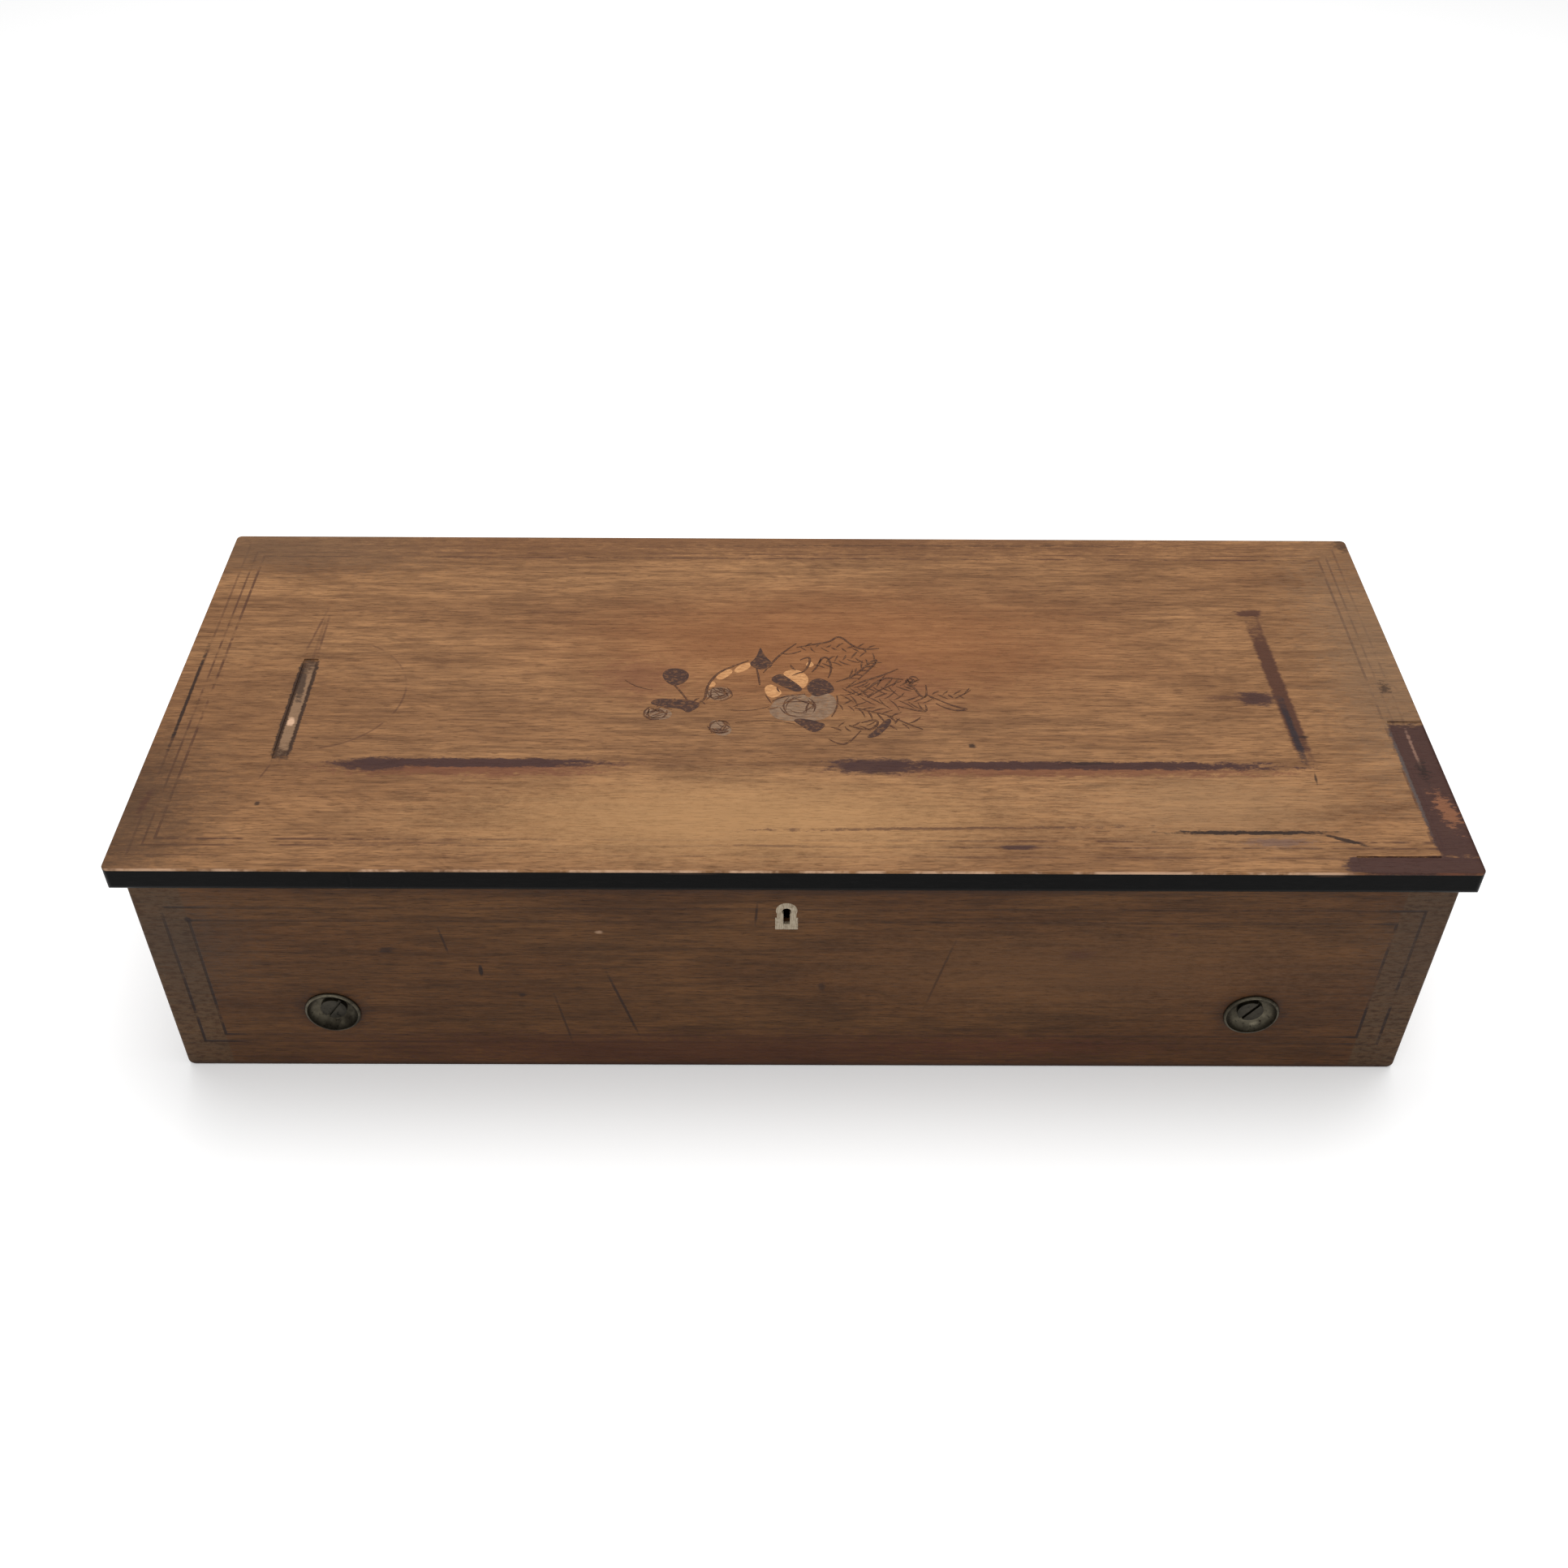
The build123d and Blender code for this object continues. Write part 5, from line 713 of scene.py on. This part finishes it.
def worn_lid_board(material):
    """The lid's board with the places where banding and veneer are lost sunk into its top."""
    board = bmesh.new()
    board.from_mesh(frame["nodes"]["lid_board"].data)
    bmesh.ops.remove_doubles(board, verts=board.verts, dist=0.001 * MM)
    bmesh.ops.dissolve_limit(board, angle_limit=0.01, verts=board.verts, edges=board.edges)

    def on_top(face):
        return face.normal.z > 0.99 and face.calc_center_median().z > LID_TOP - 0.01 * MM

    def top_faces():
        return [face for face in board.faces if on_top(face)]

    for west, east, south, north in LOSSES:
        across = [((west, 0), (1, 0)), ((east, 0), (1, 0))]
        along = [((0, south), (0, 1)), ((0, north), (0, 1))]
        for spot, direction in across + along:
            faces = top_faces()
            edges = {edge for face in faces for edge in face.edges}
            verts = {vert for face in faces for vert in face.verts}
            bmesh.ops.bisect_plane(board, geom=[*faces, *edges, *verts], dist=0.001 * MM,
                                   plane_co=Vector((*spot, 0)) * MM, plane_no=(*direction, 0))

    def lost(face):
        middle = face.calc_center_median() / MM
        return any(w < middle.x < e and s < middle.y < n for w, e, s, n in LOSSES)

    sunk = [face for face in top_faces() if lost(face)]
    rim = {edge for face in sunk for edge in face.edges
           if any(other not in sunk for other in edge.link_faces)}
    raised = bmesh.ops.extrude_face_region(board, geom=sunk)
    floor_verts = [part for part in raised["geom"] if isinstance(part, bmesh.types.BMVert)]
    bmesh.ops.delete(board, geom=[face for face in sunk if face.is_valid], context="FACES_ONLY")
    bmesh.ops.translate(board, verts=floor_verts, vec=(0, 0, -LOSS_DEPTH))
    folded = [edge for edge in rim if edge.is_valid and len(edge.link_faces) == 2
              and edge.link_faces[0].normal.dot(edge.link_faces[1].normal) < -0.99]
    bmesh.ops.dissolve_edges(board, edges=folded)
    spikes = [vert for vert in board.verts if len(vert.link_edges) == 2]
    bmesh.ops.dissolve_verts(board, verts=spikes)
    return piece("worn_lid_board", board, material, "lid", ["lid_board"])


def drawn(curve, level, thickness):
    """The mesh of a drawn curve, pressed flat on the lid at a level, both in millimetres."""
    holder = bpy.data.objects.new(curve.name, curve)
    bpy.context.scene.collection.objects.link(holder)
    bpy.context.view_layer.update()
    made = bpy.data.meshes.new_from_object(holder.evaluated_get(bpy.context.evaluated_depsgraph_get()))
    shape = bmesh.new()
    shape.from_mesh(made)
    bpy.data.meshes.remove(made)
    bpy.data.objects.remove(holder)
    bpy.data.curves.remove(curve)
    bmesh.ops.remove_doubles(shape, verts=shape.verts, dist=0.0005 * MM)
    tallest = max(vert.co.z for vert in shape.verts)
    for vert in shape.verts:
        share = max(-1.0, min(1.0, vert.co.z / (0.3 * tallest)))
        vert.co.z = LID_TOP + (level + thickness * share) * MM
    return shape


def through(curve, spots, closed):
    """A smooth line through some spots on the lid."""
    line = curve.splines.new("NURBS")
    line.points.add(len(spots) - 1)
    for point, spot in zip(line.points, spots):
        point.co = (spot[0] * MM, spot[1] * MM, 0.0, 1.0)
    line.order_u = 3
    line.use_cyclic_u = closed
    line.use_endpoint_u = not closed
    return line


def stroke_mesh(strokes, level, thickness):
    """Tapered strokes of veneer. Each is its points on the lid and its width at each of them."""
    curve = bpy.data.curves.new("strokes", "CURVE")
    curve.dimensions = "3D"
    curve.bevel_depth = 0.5 * MM
    curve.bevel_resolution = 1
    curve.resolution_u = 5
    curve.use_fill_caps = True
    for spots, widths in strokes:
        for point, width in zip(through(curve, spots, False).points, widths):
            point.radius = width
    return drawn(curve, level, thickness)


def cut_mesh(outlines, level, thickness):
    """Shapes sawn from veneer, each from the spots round its edge."""
    curve = bpy.data.curves.new("outlines", "CURVE")
    curve.dimensions = "2D"
    curve.fill_mode = "BOTH"
    curve.extrude = 0.02 * MM
    curve.resolution_u = 4
    for spots in outlines:
        through(curve, spots, True)
    return drawn(curve, level, thickness)


def leaf(start_spot, end_spot, width, bow=0.0):
    """One leaf or petal: a stroke that swells in its middle and may bow to one side."""
    middle = ((start_spot[0] + end_spot[0]) / 2, (start_spot[1] + end_spot[1]) / 2)
    run = (end_spot[0] - start_spot[0], end_spot[1] - start_spot[1])
    swell = (middle[0] - run[1] * bow, middle[1] + run[0] * bow)
    return ([start_spot, swell, end_spot], [0.15, width * 1.5, 0.15])


def vein(*spots, width=1.0):
    """A thin line through some spots, finer at its ends."""
    widths = [width] * len(spots)
    widths[0] = widths[-1] = width * 0.5
    return (list(spots), widths)


def leafy(chance, start_spot, end_spot, count, reach):
    """Small leaves to both sides of a twig."""
    made = []
    run = math.atan2(end_spot[1] - start_spot[1], end_spot[0] - start_spot[0])
    for number in range(count):
        share = (number + 0.5) / count
        base = [low + share * (high - low) for low, high in zip(start_spot, end_spot)]
        angle = run + math.radians(chance.uniform(28, 60)) * (1 if number % 2 else -1)
        length = reach * chance.uniform(0.6, 1.1)
        tip = (base[0] + length * math.cos(angle), base[1] + length * math.sin(angle))
        made.append(leaf(base, tip, chance.uniform(0.7, 1.1), chance.uniform(-0.2, 0.2)))
    return made


def tangle(chance, middle, reach, loops):
    """A small flower, rubbed to a tangle: short bowed strokes that cross round its middle."""
    made = []
    for _ in range(loops):
        turn = chance.uniform(0, math.tau)
        sweep = turn + chance.uniform(1.2, 2.6)
        far = reach * chance.uniform(0.55, 1.0)
        base = (middle[0] + far * math.cos(turn), middle[1] + 0.8 * far * math.sin(turn))
        tip = (middle[0] + far * math.cos(sweep), middle[1] + 0.8 * far * math.sin(sweep))
        made.append(leaf(base, tip, chance.uniform(0.5, 1.1), chance.uniform(-0.6, 0.3)))
    return made


# The spray's larger pieces, each by the spots round its edge.
DARK_SHAPES = [
    ((-57, 4.5), (-56, 7.5), (-53, 9.5), (-48.5, 9), (-45, 6), (-45.5, 1.5), (-48, -1.5),
     (-51.5, -3), (-55, 0)),
    ((-62, -14.5), (-57.5, -11), (-52, -12), (-44, -12), (-39, -15), (-42, -19), (-45, -21),
     (-47.5, -18), (-56, -17)),
    ((-20, 12.5), (-16, 17), (-14.5, 26), (-13, 19), (-8, 12), (-12, 9), (-15, 8.5)),
    ((-11, 1.5), (-6, 6.5), (-2, 3), (5, -5), (1, -7), (-3, -4)),
    ((5, -4), (8, 2), (12, 3), (16.5, -0.5), (18, -6.5), (13.5, -8), (9, -10.5)),
    ((-1, -25), (4, -24), (14, -27.5), (12, -31), (8, -34), (3, -29)),
    ((29.5, -36.5), (33, -33), (40, -23), (41.5, -26), (38, -32), (34, -36.5)),
]

GREY_SHAPES = [
    ((-11, -20), (-8.5, -13), (-4.5, -9), (4.5, -7.5), (6.5, -11), (8.5, -7.5), (13.5, -6.5), (18, -10),
     (18.5, -17), (15, -23), (10, -26), (-1.5, -26), (-7, -25)),
    ((-64, -20.5), (-60, -18), (-56, -17.5), (-51, -20), (-52, -25), (-60, -25.5)),
    ((-36, -28), (-33, -24.5), (-26, -29.5), (-26, -34), (-29.5, -36), (-33, -34.5)),
    ((-38, -8), (-34, -3), (-28, -4), (-26.5, -9), (-30, -12.5), (-36, -12)),
]

PALE_SHAPES = [
    ((-5, 6.5), (-1, 9), (3.5, 8), (7, 3), (5.5, -3), (3.5, -4.5), (1, 0), (-3, 2)),
    ((-13, -4), (-10, -1), (-7, -3.5), (-4.5, -7.5), (-7.5, -10.5), (-11, -10.5)),
    ((-34, 2.5), (-32, 7.5), (-27, 9.5), (-26, 6.5), (-31, 1)),
    ((-26.5, 7.5), (-23, 12.5), (-18.5, 14), (-18.5, 10), (-23.5, 6)),
    ((-38, -3), (-35.5, 1), (-33, -1), (-34.5, -4)),
    ((5, 12.5), (7.5, 15), (9.5, 12), (7, 10)),
]


def marquetry():
    """The spray of flowers and leaves let into the middle of the lid."""
    lines = [
        vein((-51.5, -2), (-49, -5), (-45, -13), width=1.2),
        vein((-72.5, 1), (-67.5, -4.5), (-60.5, -5.5), width=0.6),
        vein((-42.5, -15), (-37.5, -13.5), (-37.5, -4), (-34, 4.5), (-29, 9.5), (-19.5, 15), width=1.1),
        vein((-16, 9.5), (-15, 4), (-14.5, -2), width=1.2),
        vein((-13, 6.5), (-8.5, 15), (-4.5, 21), (1.5, 27.5)),
        vein((-4.5, 20), (-1.5, 19), (3.5, 22)),
        vein((1.5, 24.5), (9.5, 27), (16.5, 28.5), (20.5, 34), (27, 24.5), (32.5, 23), (38, 24)),
        vein((3, 15.5), (7, 18.5), (7.5, 14.5), (5.5, 8.5), (3.5, 6.5)),
        vein((8, 7), (10.5, 10.5), (12.5, 17.5), (15.5, 17.5), (17, 8), (15, 3)),
        vein((18.5, 0.5), (24.5, 3), (29, 8), (34, 14.5), (37, 16.5), (35, 11.5), (28, 2)),
        vein((22.5, -4), (29, 0.5), (39, 5), (45.5, 9.5)),
        vein((27.5, -9), (36, 0.5), (41, 4), (47.5, 2)),
        vein((31.5, -10.5), (38, -3.5), (46.5, 1)),
        vein((48.5, -3.5), (51.5, -1.5), (54, -9.5), (57.5, -10), (57, -1.5)),
        vein((59, -9.5), (67.5, -16), (75.5, -18), (66, -19), (60.5, -14)),
        vein((69, -10.5), (72, -8.5), (76, -5)),
        vein((44.5, -16), (53.5, -19.5), (57, -19), (56, -15)),
        vein((26, -17), (33, -19.5), (42, -23)),
        vein((23, -28.5), (30.5, -33), (36, -27.5), (34, -24), (28.5, -27)),
        vein((43, -24), (47.5, -27.5), (54, -31)),
        vein((14.5, -37.5), (19, -41.5), (23.5, -39.5), (28, -32), width=0.9),
        vein((-24.5, -27), (-10.5, -24), (0.5, -28), width=0.6),
        vein((-26.5, -19), (-17.5, -20), (-10.5, -16.5), width=0.6),
        vein((-9, -13), (-4.5, -9), (5, -8)),
        vein((18.5, -9), (19.5, -16), (16, -23)),
    ]
    chance = random.Random(11)
    for twig in (
        ((20, -4), (50, -2), 18, 8),
        ((19, -8), (56, -14), 18, 8),
        ((18, -14), (42, -23), 12, 7),
        ((22, 2), (36, 15), 10, 6),
        ((2, 25), (34, 24), 14, 5),
        ((8, 12), (30, 18), 12, 6),
        ((56, -8), (74, -8), 8, 5),
        ((14, -30), (50, -27), 12, 6),
        ((-62, -18), (-36, -12), 10, 5),
        ((-12, -20), (2, 10), 8, 6),
    ):
        lines.extend(leafy(chance, *twig))
    for flower in (
        ((-32, -8), 6.5, 16),
        ((-31, -30), 6, 14),
        ((-58, -21), 6, 14),
        ((51, 1), 4, 9),
        ((3, -16), 9, 12),
    ):
        lines.extend(tangle(chance, *flower))
    shades = {
        "grey": inlay("grey_veneer", tone(134, 108, 86), tone(106, 82, 64)),
        "pale": inlay("pale_veneer", tone(196, 146, 98), tone(166, 116, 74)),
        "dark": inlay("dark_veneer", tone(56, 38, 33), tone(74, 50, 40)),
        "lines": inlay("line_veneer", tone(70, 45, 34), tone(90, 60, 42)),
    }
    sheets = {
        "grey": cut_mesh(GREY_SHAPES, 0.01, 0.02),
        "pale": cut_mesh(PALE_SHAPES, 0.02, 0.02),
        "dark": cut_mesh(DARK_SHAPES, 0.03, 0.02),
        "lines": stroke_mesh(lines, 0.04, 0.02),
    }
    for name, shape in sheets.items():
        piece("marquetry_" + name, shape, shades[name], "lid")


# Height and radius of a pin in millimetres.
PIN_HEIGHT = 0.95
PIN_RADIUS = 0.16
TEETH = 60
TUNES = 6
PINS = 2600


def fine_pins(material):
    """The cylinder's steel pins, set in the tracks of its tunes."""
    low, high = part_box("cylinder_pins")
    barrel_low, barrel_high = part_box("cylinder")
    axis_y = (barrel_low.y + barrel_high.y) / 2
    axis_z = (barrel_low.z + barrel_high.z) / 2
    skin = (barrel_high.z - barrel_low.z) / 2
    chance = random.Random(5)
    pins = bmesh.new()
    tracks = TEETH * TUNES
    pitch = (high.x - low.x - 2 * PIN_RADIUS * MM) / (tracks - 1)
    for _ in range(PINS):
        x = low.x + PIN_RADIUS * MM + pitch * chance.randrange(tracks)
        turn = math.radians(chance.uniform(22, 338))
        stand = Matrix.Translation((x, axis_y, axis_z)) @ Matrix.Rotation(turn, 4, "X")
        stand = stand @ Matrix.Translation((0, 0, skin + (PIN_HEIGHT / 2 - 0.05) * MM))
        bmesh.ops.create_cone(pins, cap_ends=True, segments=4, radius1=PIN_RADIUS * MM,
                              radius2=0.7 * PIN_RADIUS * MM, depth=(PIN_HEIGHT + 0.1) * MM, matrix=stand)
    piece("fine_pins", pins, material, "cylinder", ["cylinder_pins"])


def woods():
    """Dresses the wooden parts."""
    worn_lid_board(lid_veneer())
    dress(["front_board"], case_veneer("front_veneer", "X"))
    dress(["back_board"], case_veneer("back_veneer", "X"))
    dress(["left_end_board", "right_end_board"], case_veneer("end_veneer", "Y"))
    dress(["lid_moulding"], ebonised_wood())
    inner = plain_wood("inner_wood", tone(112, 62, 36), tone(90, 47, 28), tone(52, 26, 18))
    dress(["bottom_board", "left_partition", "right_partition", "bearer_blocks", "glass_ledge",
           "glass_rail"], inner)
    frame_wood = plain_wood("frame_wood", tone(46, 38, 34), tone(36, 30, 28), tone(20, 17, 16), 0.36)
    dress(["glass_frame"], frame_wood)
    grip_wood = plain_wood("grip_wood", tone(82, 50, 34), tone(62, 38, 27), tone(36, 22, 18), 0.36)
    dress(["winding_grip"], grip_wood)


def metals():
    """Dresses the metal parts."""
    brass = metal("brass", tone(206, 170, 98), tone(150, 112, 58), 0.6, 0.2, 0.42)
    dress(["left_bridge", "middle_bridge", "right_bridge", "governor_front_plate", "governor_back_plate",
           "governor_cock", "control_bracket", "barrel", "barrel_cap", "great_wheel", "cylinder_caps",
           "tune_snail", "first_governor_wheel", "second_governor_wheel", "lid_link_plate", "glass_knob",
           "hinge_lower_leaves", "hinge_upper_leaves"], brass)
    dress(["cylinder"], metal("cylinder_brass", tone(196, 164, 104), tone(146, 116, 70), 0.5, 0.24, 0.4,
                              (2.0, 0.05, 0.05)))
    dress(["cup_washers"], metal("aged_brass", tone(98, 92, 78), tone(38, 34, 28), 0.9, 0.36, 0.6,
                                 (0.6, 0.6, 0.6), 0.08))
    dress(["bed_screws"], metal("dark_screws", tone(66, 62, 54), tone(28, 26, 23), 0.9, 0.4, 0.6,
                                (0.6, 0.6, 0.6), 0.05))
    dress(["movement_screws", "comb_screws", "hinge_case_screws", "hinge_lid_screws", "hinge_pins",
           "glass_pivots", "lock_case", "lock_bolt", "mainspring"],
          metal("blued_steel", tone(58, 70, 104), tone(34, 36, 48), 0.6, 0.2, 0.4))
    steel = metal("steel", tone(196, 196, 194), tone(128, 124, 118), 0.5, 0.18, 0.4)
    dress(["winding_arbor", "cylinder_arbor", "ratchet_wheel", "winding_lever", "winding_click",
           "endless_screw", "stop_lever", "change_lever"], steel)
    dress(["comb"], metal("comb_steel", tone(190, 190, 190), tone(126, 124, 122), 0.5, 0.2, 0.38,
                          (3.0, 0.05, 3.0)))
    dress(["comb_leads"], metal("lead", tone(112, 114, 120), tone(80, 80, 84), 0.8, 0.45, 0.7))
    dress(["bedplate", "comb_base"], cast_iron())
    fine_pins(steel)


def other_finishes():
    """Dresses the bone, glass and paper."""
    dress(["escutcheon"], bone())
    dress(["glass_pane"], pane_glass())
    dress(["tune_sheet"], tune_paper())


def floor():
    """A pale floor that stays white to the camera and keeps the box's shadow."""
    material, bench = start("floor")
    place = bench.place()
    mottle = bench.noise(place, (0.002, 0.002, 0.002), 2.0, 0.5)
    colour = bench.mix(mottle, (0.86, 0.86, 0.86, 1.0), (0.88, 0.88, 0.88, 1.0))
    shader = bench.tree.nodes["Principled BSDF"]
    bench.feed(shader.inputs["Base Color"], colour)
    shader.inputs["Roughness"].default_value = 0.9
    shader.inputs["Specular IOR Level"].default_value = 0.0
    seen = bench.add("LightPath").outputs
    share = bench.math("MAXIMUM", seen["Is Camera Ray"], seen["Is Glossy Ray"])
    share = bench.math("MAXIMUM", share, seen["Is Transmission Ray"])
    bench.feed(shader.inputs["Emission Strength"], bench.math("MULTIPLY", share, 0.26))
    shader.inputs["Emission Color"].default_value = (1.0, 1.0, 1.0, 1.0)
    ground = bmesh.new()
    bmesh.ops.create_grid(ground, x_segments=1, y_segments=1, size=4.0)
    mesh = bpy.data.meshes.new("floor")
    ground.to_mesh(mesh)
    ground.free()
    made = bpy.data.objects.new("floor", mesh)
    bpy.context.scene.collection.objects.link(made)
    mesh.materials.append(material)


def world():
    """A soft even room, white to the camera and through glass, and half as bright to everything else."""
    room = bpy.data.worlds.new("room")
    bpy.context.scene.world = room
    room.use_nodes = True
    bench = Bench(room.node_tree)
    seen = bench.add("LightPath").outputs
    share = bench.math("MAXIMUM", seen["Is Camera Ray"], seen["Is Transmission Ray"])
    ground = room.node_tree.nodes["Background"]
    ground.inputs["Color"].default_value = (1.0, 1.0, 1.0, 1.0)
    bench.feed(ground.inputs["Strength"], bench.math("ADD", bench.math("MULTIPLY", share, 0.5), 0.5))


def lamp(name, place, aim, width, depth, power):
    """A soft rectangular lamp that faces a point."""
    light = bpy.data.lights.new(name, "AREA")
    light.shape = "RECTANGLE"
    light.size = width
    light.size_y = depth
    light.energy = power
    made = bpy.data.objects.new(name, light)
    made.location = place
    made.rotation_euler = (Vector(aim) - Vector(place)).to_track_quat("-Z", "Y").to_euler()
    bpy.context.scene.collection.objects.link(made)


def camera():
    """The photograph's point of view."""
    lens = bpy.data.cameras.new("camera")
    lens.lens = 39.34
    lens.sensor_width = 36.0
    lens.clip_start = 0.01
    made = bpy.data.objects.new("camera", lens)
    turn = Matrix.Rotation(math.radians(-0.43), 4, "Z") @ Matrix.Rotation(math.radians(47.81), 4, "X")
    turn = turn @ Matrix.Rotation(math.radians(0.5), 4, "Z")
    made.matrix_world = Matrix.Translation((-0.008, -0.577, 0.588)) @ turn
    bpy.context.scene.collection.objects.link(made)
    bpy.context.scene.camera = made


for make_effect in (wood_grain, worn_patch, string_line, ring_line, worked_metal):
    make_effect()
camera()
world()
floor()
lamp("overhead", (0.1, 0.35, 1.5), (0, 0, 0), 1.6, 1.0, 20.0)
lamp("front_fill", (-0.4, -1.6, 0.9), (0, 0, 0.05), 1.4, 0.8, 8.0)
woods()
metals()
other_finishes()
marquetry()
bpy.context.scene.view_settings.view_transform = "Standard"
